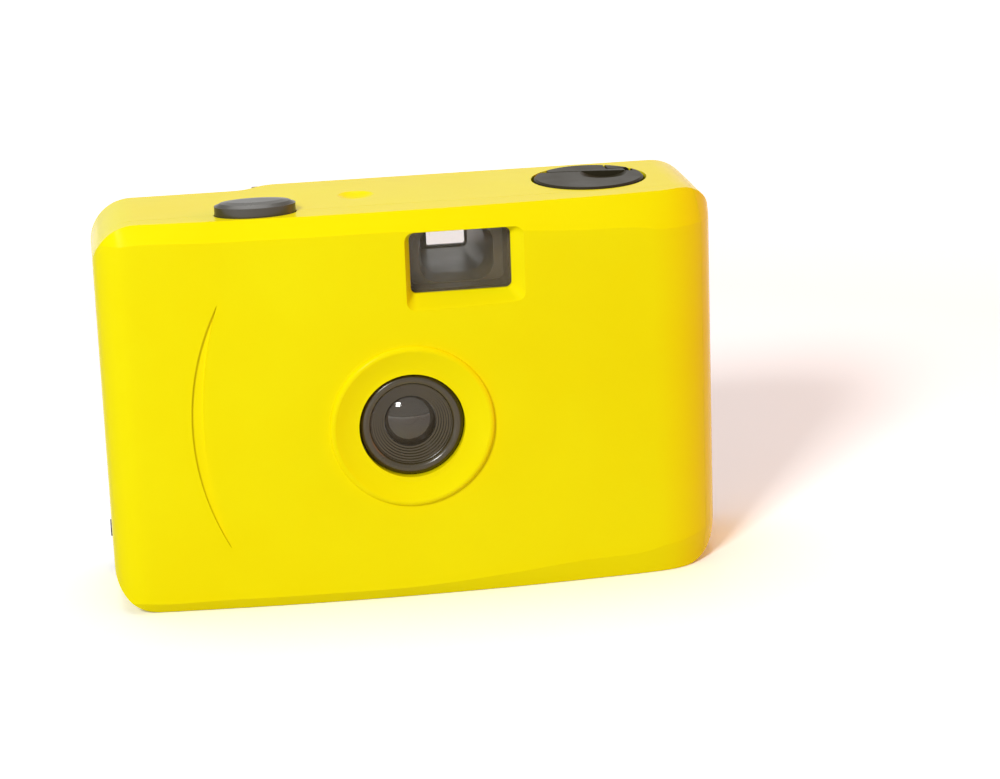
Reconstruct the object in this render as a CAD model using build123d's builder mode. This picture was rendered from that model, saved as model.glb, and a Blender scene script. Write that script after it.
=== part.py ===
from build123d import *
from math import atan2, cos, degrees, pi, radians, sin, sqrt, tan
import os

# Reusable 35 mm film camera, in millimetres.
# Origin: centre of the flat base. +X: right hand side seen from the front, -Y: the lens side, +Z: up.
# "Depth" is the distance behind the foremost line of the front face.

# Case
WIDTH = 102.0
HEIGHT = 65.0
DEPTH = 33.0
WALL = 1.3
FACE_RADIUS = 420.0
FACE_APEX_X = -2.0
FRONT_CORNER_RIGHT = 13.0
FRONT_CORNER_LEFT = 6.0
OUTLINE_CORNER = 7.0
BACK_CORNER = 9.5
BACK_EDGE_ROUND = 1.5
SEAM_DEPTH = 7.0
SEAM_GAP = 0.08
REAR_EDGE_LEFT = DEPTH - 8.1
REAR_EDGE_RIGHT = DEPTH - 4.6
STEP_START_X = 23.5 - WIDTH / 2
STEP_LENGTH = 8.0
LEFT_SLOPE = 0.26
RIGHT_SLOPE = 0.2
SLOPE_WALL = 0.9
BACK_INSET = 0.3
FIT_GAP = 0.15
RUN_GAP = 0.3

# Slanted band between the front face and the top and bottom
BEVEL_TOP = 3.1
BEVEL_BOTTOM = 1.8
BEVEL_GROWTH = 0.07
BEVEL_SLOPE = 0.55
BEVEL_END_DROP = 6.2
BEVEL_END_RUN = 0.35

# Lens
LENS_X = -1.5
LENS_Z = 29.5
RING_RADIUS = 13.5
RING_HEIGHT = 0.8
RING_EDGE_WIDTH = 0.9
RING_DISH_RADIUS = 11.0
LENS_HOLE_RADIUS = 8.7
BEZEL_RADIUS = 8.55
BARREL_RADIUS = 7.6
BARREL_START_DEPTH = 2.6
BEZEL_BACK_DEPTH = 6.3
GLASS_RADIUS = 4.7
GLASS_SEAT_DEPTH = 3.4
GLASS_THICKNESS = 1.5
GLASS_BULGE = 1.4
RIDGE_COUNT = 6
RIDGE_OUTER = 6.6
RIDGE_INNER = 4.3
RIDGE_START_DEPTH = 1.4
BEZEL_RIM = ((8.55, 1.6), (8.3, 1.0), (7.85, 0.7), (7.4, 0.66), (6.95, 0.9), (6.7, 1.35))
RETAINER_THICKNESS = 0.6
APERTURE_PLATE = 0.3
APERTURE_RADIUS = 1.4

# Grip line on the front
GRIP_FROM_LEFT = 13.9
GRIP_Z = 31.2
GRIP_RADIUS = 43.0
GRIP_WIDTH = 1.9
GRIP_INNER_RADIUS = 65.3
GRIP_DEPTH = 0.5

# Viewfinder
FINDER_X = 7.7
FINDER_FROM_TOP = 9.0
WINDOW_WIDTH = 16.5
WINDOW_HEIGHT = 10.0
WINDOW_DEPTH = 2.4
WINDOW_SLOPE_LEFT = 1.0
WINDOW_SLOPE_RIGHT = 2.4
WINDOW_SLOPE_BOTTOM = 2.3
WINDOW_SLOPE_TOP = 0.6
WINDOW_CORNER = 1.0
WINDOW_LIP = 0.6
WINDOW_REBATE = 0.7
FINDER_GLASS = 1.2
FINDER_DISH_RADIUS = 8.6
FINDER_DISH_DEPTH = 0.45
FINDER_DISH_X = -0.8
FINDER_DISH_Z = 1.0
EYEPIECE_WIDTH = 6.6
EYEPIECE_HEIGHT = 6.2
EYEPIECE_CORNER = 0.4
EYEPIECE_SHIFT_X = 1.3
EYEPIECE_SHIFT_Z = -1.1
EYEPIECE_LENS = 0.9
TUNNEL_WALL = 0.8
TUNNEL_END_WIDTH = 9.8
TUNNEL_END_HEIGHT = 9.0
TUNNEL_END_DEPTH = DEPTH - 2.1
MASK_DEPTH = 7.5
MASK_THICKNESS = 5.0
MASK_FLARE = 1.6
MASK_WIDTH = 10.6
MASK_HEIGHT = 8.6
MASK_CORNER = 3.0

# Film path
FILM_DEPTH = DEPTH - 4.5
GATE_WIDTH = 36.0
GATE_HEIGHT = 24.0
CASSETTE_FROM_RIGHT = 19.4
CASSETTE_DEPTH = 17.4
CASSETTE_RADIUS = 12.7
CASSETTE_HEIGHT = 47.0
CASSETTE_GAP = 0.2
HUB_WELL_RADIUS = 6.2
SPOOL_FROM_LEFT = 12.1
SPOOL_DEPTH = DEPTH - 20.4
SPOOL_RADIUS = 4.0
SPOOL_BAY_RADIUS = 8.2
SPOOL_FLANGE_RADIUS = 7.4
SPOOL_SLOT = 1.2
SPROCKET_FROM_SPOOL = 11.9
SPROCKET_TEETH = 8
PERFORATION_PITCH = 4.75
PERFORATION_ROWS = 28.17
TOOTH_HEIGHT = 1.2
TOOTH_BASE = 1.9
ROW_WIDTH = 3.2
TOOTH_WIDTH = 1.8
SPROCKET_HUB_RADIUS = 3.8

# Chassis
FLOOR_THICKNESS = 1.0
DECK_THICKNESS = 1.2
CHASSIS_FRONT = 4.0
CHASSIS_LEFT_GAP = 1.7
CHASSIS_RIGHT_GAP = 3.6
BAY_WALL = 0.9
RIB = 1.2
BOARD_DEPTH = 9.2
BOARD_THICKNESS = 1.0
BOARD_HOLE_RADIUS = 4.4
GATE_PLATE = 1.6
TUNNEL_MOUTH = 9.0
TUNNEL_RIB = 1.5
FINDER_FLOOR_DROP = 6.2
FINDER_BAY_GAP = 0.45
FOOT_Z = 2.35
FOOT_RADIUS = 2.4

# Winding gear
GEAR_MODULE = 0.6
GEAR_TEETH = 20
GEAR_BACKLASH = 0.25
GEAR_FLANK = 74.0
GEAR_THICKNESS = 1.2
GEAR_RISE = 1.7
WHEEL_RADIUS = 9.2
WHEEL_THICKNESS = 4.0
WHEEL_GRIPS = 40
WHEEL_GRIP_RADIUS = 0.42
WHEEL_OFFSET_X = 0.6
WHEEL_HUB_RADIUS = 3.2
AXLE_RADIUS = 1.5
AXLE_HEAD_RADIUS = 2.6
AXLE_HEAD = 0.8
PAD_RISE = 0.15
PAD_THICKNESS = 1.1
PAD_HALF_WIDTH = 4.5
PAD_FRONT = 6.0
PAD_REAR = 3.2
SHAFT_TOP_RADIUS = 2.0
SHAFT_LOW_RADIUS = 1.5
GEAR_SEAT_RADIUS = 1.2
CAM_RADIUS = 4.5
CAM_NOTCH = 1.2
CAM_RISE = 0.5
CAM_THICKNESS = 1.1
DIAL_RADIUS = 4.8
DIAL_TEETH = 24
DIAL_THICKNESS = 0.6
DIAL_FROM_TOP = 3.5
DIAL_POST_RADIUS = 1.0
DIAL_WINDOW = 3.2
FINGER_SHAFT_RADIUS = 1.1
FINGER_REACH = 1.8
FINGER_WIDTH = 0.5
DIAL_DIRECTION = 32.0
JOURNAL_GAP = 0.06
STOP_ARM_X = 6.1
STOP_ARM_DEPTH = 7.25
STOP_BOSS_RADIUS = 1.5

# Rewind knob
KNOB_RADIUS = 9.1
KNOB_PROUD = 0.3
KNOB_THICKNESS = 2.8
KNOB_CHAMFER = 0.3
WELL_GAP = 0.5
WELL_DEPTH = 3.0
WELL_WALL = 1.1
CRANK_THICKNESS = 1.7
CRANK_HINGE_X = 6.3
CRANK_CURVE = 2.6
CRANK_GAP = 0.35
CRANK_SHOULDER = 2.5
CRANK_HINGE_REACH = 4.5
CRANK_NOTCH = 3.1
NOTCH_STEP = 0.7
KNOB_RIM_X = 7.9
CRANK_PIN_RADIUS = 0.4
SCOOP_RADIUS = 4.0
SCOOP_DEPTH = 1.1
SCOOP_X = 2.8
SCOOP_Y = 1.6
REWIND_SHAFT_RADIUS = 2.5
FORK_REACH = 4.5
FORK_THICKNESS = 1.6
FORK_SLOT = 2.0
CLIP_RISE = 0.7
CLIP_THICKNESS = 0.9
CLIP_GROOVE = 0.5
CLIP_OUTER_RADIUS = 4.2

# Shutter button and release
BUTTON_FROM_LEFT = 26.4
BUTTON_DEPTH = 6.9
BUTTON_LENGTH = 13.1
BUTTON_WIDTH = 7.5
BUTTON_RISE = 1.5
BUTTON_DOME = 0.6
BUTTON_SKIRT = 3.2
STEM_RADIUS = 1.6
STEM_TIP_RADIUS = 0.7
STEM_TIP_RISE = 2.5
COLLAR = 0.5
SPRING_WIRE = 0.5
LEVER_PIVOT_X = -15.5
LEVER_DROP = 9.0
LEVER_END_X = -4.7
LEVER_DEPTH = 6.1
LEVER_THICKNESS = 1.6
LEVER_WIDTH = 1.4
HOOK_WIDTH = 1.2
HOOK_DROP = 3.2
PIN_RADIUS = 0.8
PIN_BOSS_RADIUS = 1.8
PIN_FRONT_DEPTH = 5.6

# Shutter
SHUTTER_PLATE_DEPTH = 6.32
SHUTTER_PLATE = 0.68
SHUTTER_PLATE_LEFT = -16.0
SHUTTER_PLATE_RIGHT = 12.0
SHUTTER_PLATE_LOW = 18.0
SHUTTER_PLATE_HIGH = 41.0
SHUTTER_HOLE_RADIUS = 2.4
BLADE_DEPTH = 7.05
BLADE_THICKNESS = 0.2
BLADE_DISC_RADIUS = 3.2
BLADE_PIVOT_X = -9.5
BLADE_PIVOT_Z = 24.5
STRIKER_PIVOT_X = -12.5
STRIKER_PIVOT_Z = 36.0
STRIKER_DEPTH = 7.6
STRIKER_THICKNESS = 0.9
SHUTTER_SCREWS = ((-14.0, 20.0), (10.0, 20.0), (10.0, 39.0))
SHUTTER_BOSS_RADIUS = 1.7
SMALL_HEAD_RADIUS = 1.5
SMALL_HEAD = 0.7

# Back door
SHELF = 1.0
DOOR_WALL = 1.5
PANEL_DEPTH = DEPTH - 2.2
HINGE_RADIUS = 1.5
HINGE_PIN_RADIUS = 0.75
KNUCKLE_LOW_Z = 7.0
KNUCKLE_LENGTH = 3.6
NOTCH_LEFT = -1.2
NOTCH_RIGHT = 16.7
NOTCH_DROP = 5.4
PLATE_WIDTH = 42.0
PLATE_HEIGHT = 34.0
PLATE_THICKNESS = 0.6
PLATE_DEPTH = DEPTH - 4.15
LEAF_LENGTH = 30.0
LEAF_WIDTH = 10.0
LEAF_THICKNESS = 0.2
SEAL_WIDTH = 1.5
LATCH_Z = 22.3
LATCH_LENGTH = 8.0
LATCH_TRAVEL = 3.0
LATCH_PLATE = 0.95
LATCH_DEPTH = DEPTH - 4.25
LATCH_HOOK_REACH = 2.65
CATCH_DEPTH = DEPTH - 5.8

# Small features
DIMPLE_X = -7.5
DIMPLE_DEPTH = 15.7
DIMPLE_RADIUS = 3.0
DIMPLE_DROP = 0.8
SCREW_RADIUS = 0.8
SCREW_HEAD_RADIUS = 1.8
SCREW_HEAD = 0.8
CASE_SCREWS = (
    (6.5 - WIDTH / 2, 10.5),
    (6.5 - WIDTH / 2, DEPTH - 12.0),
    (WIDTH / 2 - 8.0, 10.5),
    (WIDTH / 2 - 8.0, DEPTH - 9.0),
)
REAR_SCREWS = (-12.0, WIDTH / 2 - 6.5)
REAR_SCREW_FROM_TOP = 5.7
TAB_WIDTH = 8.0
TAB_FROM_SIDE = 15.0
TAB_THICKNESS = 0.9
TAB_REACH = 2.5
LUG_Z = 11.7
LUG_DEPTH = 14.0
LUG_LENGTH = 5.2
LUG_HEIGHT = 4.4
LUG_RIM = 0.7
LUG_BAR = 1.2
LUG_PROUD = 0.2
LUG_POCKET = 1.7
RELEASE_RADIUS = 1.7
RELEASE_FLANGE_RADIUS = 2.35
RELEASE_TRAVEL = 1.0

# Values that follow from the sizes above
FRONT_Y = -DEPTH / 2
HALF_WIDTH = WIDTH / 2
STEP_END_X = STEP_START_X + STEP_LENGTH
GRIP_X = GRIP_FROM_LEFT - HALF_WIDTH
FINDER_Z = HEIGHT - FINDER_FROM_TOP
FINDER_FLOOR_Z = FINDER_Z - FINDER_FLOOR_DROP
CASSETTE_X = HALF_WIDTH - CASSETTE_FROM_RIGHT
SPOOL_X = SPOOL_FROM_LEFT - HALF_WIDTH
SPROCKET_X = SPOOL_X + SPROCKET_FROM_SPOOL
CHASSIS_LEFT = CHASSIS_LEFT_GAP - HALF_WIDTH
CHASSIS_RIGHT = HALF_WIDTH - CHASSIS_RIGHT_GAP
BAY_FLOOR_Z = LENS_Z - CASSETTE_HEIGHT / 2 - CASSETTE_GAP
BAY_TOP_Z = LENS_Z + CASSETTE_HEIGHT / 2 + CASSETTE_GAP
DECK_TOP_Z = BAY_TOP_Z + DECK_THICKNESS
FLOOR_Z = BAY_FLOOR_Z - FLOOR_THICKNESS
BAY_RADIUS = CASSETTE_RADIUS + CASSETTE_GAP
DOOR_TOP_Z = DECK_TOP_Z - 0.1
COVER_BOTTOM_Z = DOOR_TOP_Z + RUN_GAP
SPROCKET_RADIUS = SPROCKET_TEETH * PERFORATION_PITCH / (2 * pi)
SPROCKET_DEPTH = FILM_DEPTH - SPROCKET_RADIUS
SPROCKET_BAY_RADIUS = SPROCKET_RADIUS + TOOTH_HEIGHT + RUN_GAP
FINDER_BAY_LEFT = SPROCKET_X + SPROCKET_BAY_RADIUS + FINDER_BAY_GAP
FINDER_BAY_RIGHT = CASSETTE_X - BAY_RADIUS - BAY_WALL
BOARD_LEFT = SPROCKET_X - 3.0
GEAR_RADIUS = GEAR_MODULE * GEAR_TEETH / 2
GEAR_Z = DECK_TOP_Z + GEAR_RISE
WHEEL_Z = GEAR_Z + GEAR_THICKNESS + RUN_GAP
WHEEL_X = SPOOL_X + WHEEL_OFFSET_X
WHEEL_DEPTH = SPOOL_DEPTH + sqrt((2 * GEAR_RADIUS) ** 2 - WHEEL_OFFSET_X ** 2)
WHEEL_TOP_Z = WHEEL_Z + WHEEL_THICKNESS
MESH_ANGLE = degrees(atan2(WHEEL_DEPTH - SPOOL_DEPTH, WHEEL_OFFSET_X))
PAD_Z = DECK_TOP_Z + PAD_RISE
PAD_TOP_Z = PAD_Z + PAD_THICKNESS
CAM_Z = DECK_TOP_Z + CAM_RISE
CAM_TOP_Z = CAM_Z + CAM_THICKNESS
STOP_PIVOT_X = SPROCKET_X + STOP_ARM_X
STOP_PIVOT_DEPTH = SPROCKET_DEPTH - STOP_ARM_DEPTH
DIAL_Z = HEIGHT - DIAL_FROM_TOP
DIAL_TOP_Z = DIAL_Z + DIAL_THICKNESS
DIAL_DISTANCE = DIAL_RADIUS + FINGER_REACH
DIAL_X = SPROCKET_X + DIAL_DISTANCE * cos(radians(DIAL_DIRECTION))
DIAL_DEPTH = SPROCKET_DEPTH + DIAL_DISTANCE * sin(radians(DIAL_DIRECTION))
HINGE_X = -HALF_WIDTH + BACK_INSET + HINGE_RADIUS
HINGE_DEPTH = REAR_EDGE_LEFT + FIT_GAP + HINGE_RADIUS + RUN_GAP
KNUCKLE_TOP_Z = DECK_TOP_Z - KNUCKLE_LENGTH
BARREL_LOW_Z = KNUCKLE_LOW_Z + KNUCKLE_LENGTH + RUN_GAP
BARREL_TOP_Z = KNUCKLE_TOP_Z - RUN_GAP
COVER_INSET = BACK_INSET + WALL
WINDOW_LOW = FINDER_Z - WINDOW_HEIGHT / 2
WINDOW_HIGH = FINDER_Z + WINDOW_HEIGHT / 2
FINDER_GLASS_DEPTH = WINDOW_DEPTH + WINDOW_LIP
TUNNEL_DEPTH = FINDER_GLASS_DEPTH + FINDER_GLASS + 0.05
EYEPIECE_DEPTH = TUNNEL_END_DEPTH + 0.05
EYEPIECE_X = FINDER_X + EYEPIECE_SHIFT_X
EYEPIECE_Z = FINDER_Z + EYEPIECE_SHIFT_Z
WELL_RADIUS = KNOB_RADIUS + WELL_GAP
WELL_FLOOR_Z = HEIGHT - WELL_DEPTH
KNOB_TOP_Z = HEIGHT + KNOB_PROUD
CLIP_Z = DECK_TOP_Z + CLIP_RISE
KNOB_BOTTOM_Z = KNOB_TOP_Z - KNOB_THICKNESS
CRANK_LOW_Z = KNOB_TOP_Z - CRANK_THICKNESS
CRANK_HINGE_Z = KNOB_TOP_Z - CRANK_THICKNESS / 2
BUTTON_X = BUTTON_FROM_LEFT - HALF_WIDTH
LEVER_PIVOT_Z = FINDER_Z - LEVER_DROP
STEM_TIP_Z = LEVER_PIVOT_Z + STEM_TIP_RISE
HOOK_Z = LEVER_PIVOT_Z - HOOK_DROP
NOTCH_Z = FINDER_Z - NOTCH_DROP
REAR_SCREW_Z = HEIGHT - REAR_SCREW_FROM_TOP
LATCH_HOOK_DEPTH = LATCH_DEPTH - LATCH_HOOK_REACH
DOOR_INNER_X = HALF_WIDTH - BACK_INSET - DOOR_WALL
PIN_END_DEPTH = BOARD_DEPTH + BOARD_THICKNESS - 0.2
REAR_START = DEPTH / 2
PIVOTS = (
    (LEVER_PIVOT_X, LEVER_PIVOT_Z),
    (STRIKER_PIVOT_X, STRIKER_PIVOT_Z),
    (BLADE_PIVOT_X, BLADE_PIVOT_Z),
)


def at(x, depth, z=0.0):
    """A point given by x, depth behind the front, and height."""
    return (x, FRONT_Y + depth, z)


def depth_plane(depth):
    """A plane facing the front: its x is X, its y is Z, and a negative extrusion goes backwards."""
    return Plane(origin=at(0, depth), x_dir=(1, 0, 0), z_dir=(0, -1, 0))


def floor_plane(x, depth, z):
    """A level plane with its own origin at x, depth and z."""
    return Plane(origin=at(x, depth, z), x_dir=(1, 0, 0), z_dir=(0, 0, 1))


def block(x0, x1, depth0, depth1, z0, z1, mode=Mode.ADD):
    """A box between two x, two depths and two heights."""
    with Locations(at((x0 + x1) / 2, (depth0 + depth1) / 2, (z0 + z1) / 2)):
        Box(x1 - x0, depth1 - depth0, z1 - z0, mode=mode)


def upright(x, depth, z0, z1, radius, mode=Mode.ADD):
    """A vertical cylinder between two heights."""
    with Locations(at(x, depth, (z0 + z1) / 2)):
        Cylinder(radius, z1 - z0, mode=mode)


def level(x, z, depth0, depth1, radius, mode=Mode.ADD):
    """A cylinder that runs front to back between two depths."""
    with Locations(at(x, (depth0 + depth1) / 2, z)):
        Cylinder(radius, depth1 - depth0, rotation=(90, 0, 0), mode=mode)


def face_depth(x, inset=0.0):
    """Depth of the bowed front face at x."""
    radius = FACE_RADIUS - inset
    return FACE_RADIUS - sqrt(radius ** 2 - (x - FACE_APEX_X) ** 2)


def save(part, name):
    """Label a finished piece and write its STEP file."""
    part.label = name
    export_step(part, f"parts/{name}.step")
    print(f"{name}: {len(part.solids())} solid(s), {part.volume:.1f} mm3, valid {part.is_valid}")


def case_form(inset=0.0, back_round=0.0, corner=OUTLINE_CORNER):
    """The closed outer shape of the case, drawn in by an inset."""
    left = -HALF_WIDTH + inset
    right = HALF_WIDTH - inset
    back = DEPTH - inset
    with BuildPart() as form:
        with BuildSketch(Plane.XY.offset(inset)) as plan:
            with BuildLine():
                face = ThreePointArc(
                    at(left, face_depth(left, inset)),
                    at(FACE_APEX_X, inset),
                    at(right, face_depth(right, inset)),
                )
                Polyline(face @ 1, at(right, back), at(left, back), face @ 0)
            make_face()
            fillet([v for v in plan.vertices() if v.X > 0 and v.Y < 0], FRONT_CORNER_RIGHT - inset)
            fillet([v for v in plan.vertices() if v.X < 0 and v.Y < 0], FRONT_CORNER_LEFT - inset)
        extrude(amount=HEIGHT - 2 * inset)
        with BuildSketch(depth_plane(-DEPTH)):
            with Locations((0, HEIGHT / 2)):
                RectangleRounded(WIDTH - 2 * inset, HEIGHT - 2 * inset, corner - inset)
        extrude(amount=-3 * DEPTH, mode=Mode.INTERSECT)
        if back_round > 0:
            fillet(form.faces().sort_by(Axis.Y)[-1].edges(), back_round)
    return form.part


def outline_stations():
    """Points and outward directions along the front of the plan outline, left side to right side."""
    centre = Vector(*at(FACE_APEX_X, FACE_RADIUS))
    corners = []
    for side, radius in ((-1, FRONT_CORNER_LEFT), (1, FRONT_CORNER_RIGHT)):
        x = side * (HALF_WIDTH - radius)
        corners.append((Vector(*at(x, face_depth(x, radius))), radius))
    (left, left_radius), (right, right_radius) = corners
    left_angle = atan2(left.Y - centre.Y, left.X - centre.X)
    right_angle = atan2(right.Y - centre.Y, right.X - centre.X)
    arcs = [
        (left, left_radius, -pi, left_angle, 4),
        (centre, FACE_RADIUS, left_angle, right_angle, 8),
        (right, right_radius, right_angle, 0.0, 5),
    ]
    run_on = 10.0
    stations = [(left + Vector(-left_radius, run_on), Vector(-1, 0))]
    stations.append((left + Vector(-left_radius, run_on / 2), Vector(-1, 0)))
    for number, (middle, radius, start, end, steps) in enumerate(arcs):
        for step in range(1 if number else 0, steps + 1):
            angle = start + (end - start) * step / steps
            out = Vector(cos(angle), sin(angle))
            stations.append((middle + out * radius, out))
    stations.append((right + Vector(right_radius, run_on / 2), Vector(1, 0)))
    stations.append((right + Vector(right_radius, run_on), Vector(1, 0)))
    return stations


def bevel_size(point, out, base):
    """Height and run of the slanted band at a station: it grows to the right and fades at the corners."""
    drop = base + BEVEL_GROWTH * max(0.0, point.X)
    run = BEVEL_SLOPE * base
    turn = degrees(atan2(out.X, -out.Y))
    fade = max(0.0, min(1.0, (turn - 10) / 80), min(1.0, (-turn - 15) / 75))
    if turn > 0:
        drop = drop * (1 - fade) + BEVEL_END_DROP * fade
    return drop, run * (1 - fade) + BEVEL_END_RUN * fade


def bevel_cutter(base, is_top, inset=0.0):
    """The wedge that cuts the slanted band along the whole front edge, for a form with this inset."""
    overlap = 0.02
    margin = 4.0
    up = 1 if is_top else -1
    edge = HEIGHT if is_top else 0.0
    with BuildPart() as cutter:
        for point, out in outline_stations():
            drop, run = bevel_size(point, out, base)
            shift = inset * sqrt(1 + (run / drop) ** 2)
            crease = edge - up * drop
            start = crease - up * (shift - inset + overlap) * drop / run
            end = edge + up * margin
            plane = Plane(origin=(point.X, point.Y, 0), x_dir=(out.X, out.Y, 0), z_dir=(out.Y, -out.X, 0))
            with BuildSketch(plane):
                with BuildLine():
                    Polyline(
                        (overlap - inset, start),
                        (-shift - run * (drop + margin) / drop, end),
                        (margin, end),
                        (margin, start),
                        close=True,
                    )
                make_face()
        loft()
    return cutter.part


def bevelled_form(inset):
    """The closed shape with its slanted bands, drawn in by an inset."""
    with BuildPart() as form:
        add(case_form(inset))
        add(bevel_cutter(BEVEL_TOP, True, inset), mode=Mode.SUBTRACT)
        add(bevel_cutter(BEVEL_BOTTOM, False, inset), mode=Mode.SUBTRACT)
    return form.part


def behind_edge(offset):
    """Everything behind the stepped rear edge of the yellow case."""
    left_depth = REAR_EDGE_LEFT + offset
    right_depth = REAR_EDGE_RIGHT + offset
    middle_x = (STEP_START_X + STEP_END_X) / 2
    middle_depth = (left_depth + right_depth) / 2
    far_x = HALF_WIDTH + 20
    far_depth = 2 * DEPTH
    with BuildPart() as zone:
        with BuildSketch(Plane.XY.offset(-10)):
            with BuildLine():
                start = Line(at(-far_x, left_depth), at(STEP_START_X, left_depth))
                rise = TangentArc(start @ 1, at(middle_x, middle_depth), tangent=start % 1)
                level_off = TangentArc(rise @ 1, at(STEP_END_X, right_depth), tangent=rise % 1)
                Polyline(
                    level_off @ 1,
                    at(far_x, right_depth),
                    at(far_x, far_depth),
                    at(-far_x, far_depth),
                    start @ 0,
                )
            make_face()
        extrude(amount=HEIGHT + 20)
    return zone.part


def limited_box(x0, x1, depth0, depth1, z0, z1, limit):
    """The part of a box that lies inside a form."""
    with BuildPart() as room:
        block(x0, x1, depth0, depth1, z0, z1)
        add(limit, mode=Mode.INTERSECT)
    return room.part


def spur_gear(x, depth, z0, thickness, tooth_angle):
    """A plain straight-sided spur gear on a vertical axis, with one tooth at the given angle."""
    root = GEAR_RADIUS - 1.25 * GEAR_MODULE
    tip = GEAR_RADIUS + GEAR_MODULE
    base = root - 0.4
    pitch_width = pi * GEAR_MODULE / 2 - GEAR_BACKLASH
    base_width = pitch_width + 2 * (GEAR_RADIUS - base) / tan(radians(GEAR_FLANK))
    with BuildPart() as gear:
        with BuildSketch(floor_plane(x, depth, z0)):
            Circle(root)
            with PolarLocations(base, GEAR_TEETH, start_angle=tooth_angle):
                Trapezoid(base_width, tip - base, GEAR_FLANK, rotation=-90, align=(Align.CENTER, Align.MIN))
        extrude(amount=thickness)
    return gear.part


def tube(x, depth, z0, z1, inner, outer_radius):
    """A plain vertical ring between two heights."""
    with BuildPart() as ring:
        upright(x, depth, z0, z1, outer_radius)
        upright(x, depth, z0 - 1, z1 + 1, inner, Mode.SUBTRACT)
    return ring.part


def button_opening():
    """The oval hole for the shutter button, shared by the cover and the case."""
    with BuildPart() as opening:
        with BuildSketch(floor_plane(BUTTON_X, BUTTON_DEPTH, HEIGHT - 2 * BUTTON_SKIRT)):
            Ellipse(BUTTON_LENGTH / 2 + FIT_GAP, BUTTON_WIDTH / 2 + FIT_GAP)
        extrude(amount=4 * BUTTON_SKIRT)
    return opening.part


def behind_crank_line(gap, z0, height):
    """The rear part of the knob, behind the curved line that divides knob and crank."""
    reach = KNOB_RADIUS + 2
    with BuildPart() as zone:
        with BuildSketch(floor_plane(CASSETTE_X, CASSETTE_DEPTH, z0)):
            with BuildLine():
                bend = Spline(
                    (-reach, CRANK_CURVE + 2.0 + gap),
                    (-3.5, CRANK_CURVE + 1.6 + gap),
                    (2.5, CRANK_CURVE + 0.6 + gap),
                    (reach, CRANK_CURVE - 1.0 + gap),
                )
                Polyline(bend @ 1, (reach, reach), (-reach, reach), bend @ 0)
            make_face()
        extrude(amount=height)
    return zone.part


os.makedirs("parts", exist_ok=True)

outer = bevelled_form(0.0)
hollow = bevelled_form(WALL)
chassis_limit = bevelled_form(WALL + FIT_GAP)
back_outer = case_form(BACK_INSET, BACK_EDGE_ROUND, BACK_CORNER)
rear_zone = behind_edge(0.0)
black_zone = behind_edge(FIT_GAP)
button_hole = button_opening()
lens_axis = Axis(at(LENS_X, 0, LENS_Z), (0, 1, 0))
lens_section = Plane(origin=at(LENS_X, 0, LENS_Z), x_dir=(1, 0, 0), z_dir=(0, 0, 1))

# Cutter for the tapering grip line
with BuildPart() as grip_cutter:
    with BuildSketch(depth_plane(-2)):
        with Locations((GRIP_X + GRIP_RADIUS, GRIP_Z)):
            Circle(GRIP_RADIUS)
        with Locations((GRIP_X + GRIP_WIDTH + GRIP_INNER_RADIUS, GRIP_Z)):
            Circle(GRIP_INNER_RADIUS, mode=Mode.SUBTRACT)
    extrude(amount=-10)
    add(case_form(GRIP_DEPTH), mode=Mode.SUBTRACT)

window_frame = limited_box(
    FINDER_X - WINDOW_WIDTH / 2 - 2.2,
    FINDER_X + WINDOW_WIDTH / 2 + 2.6,
    WALL / 2,
    FINDER_GLASS_DEPTH + 0.6,
    WINDOW_LOW - 2.2,
    WINDOW_HIGH + 1.2,
    outer,
)

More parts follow.
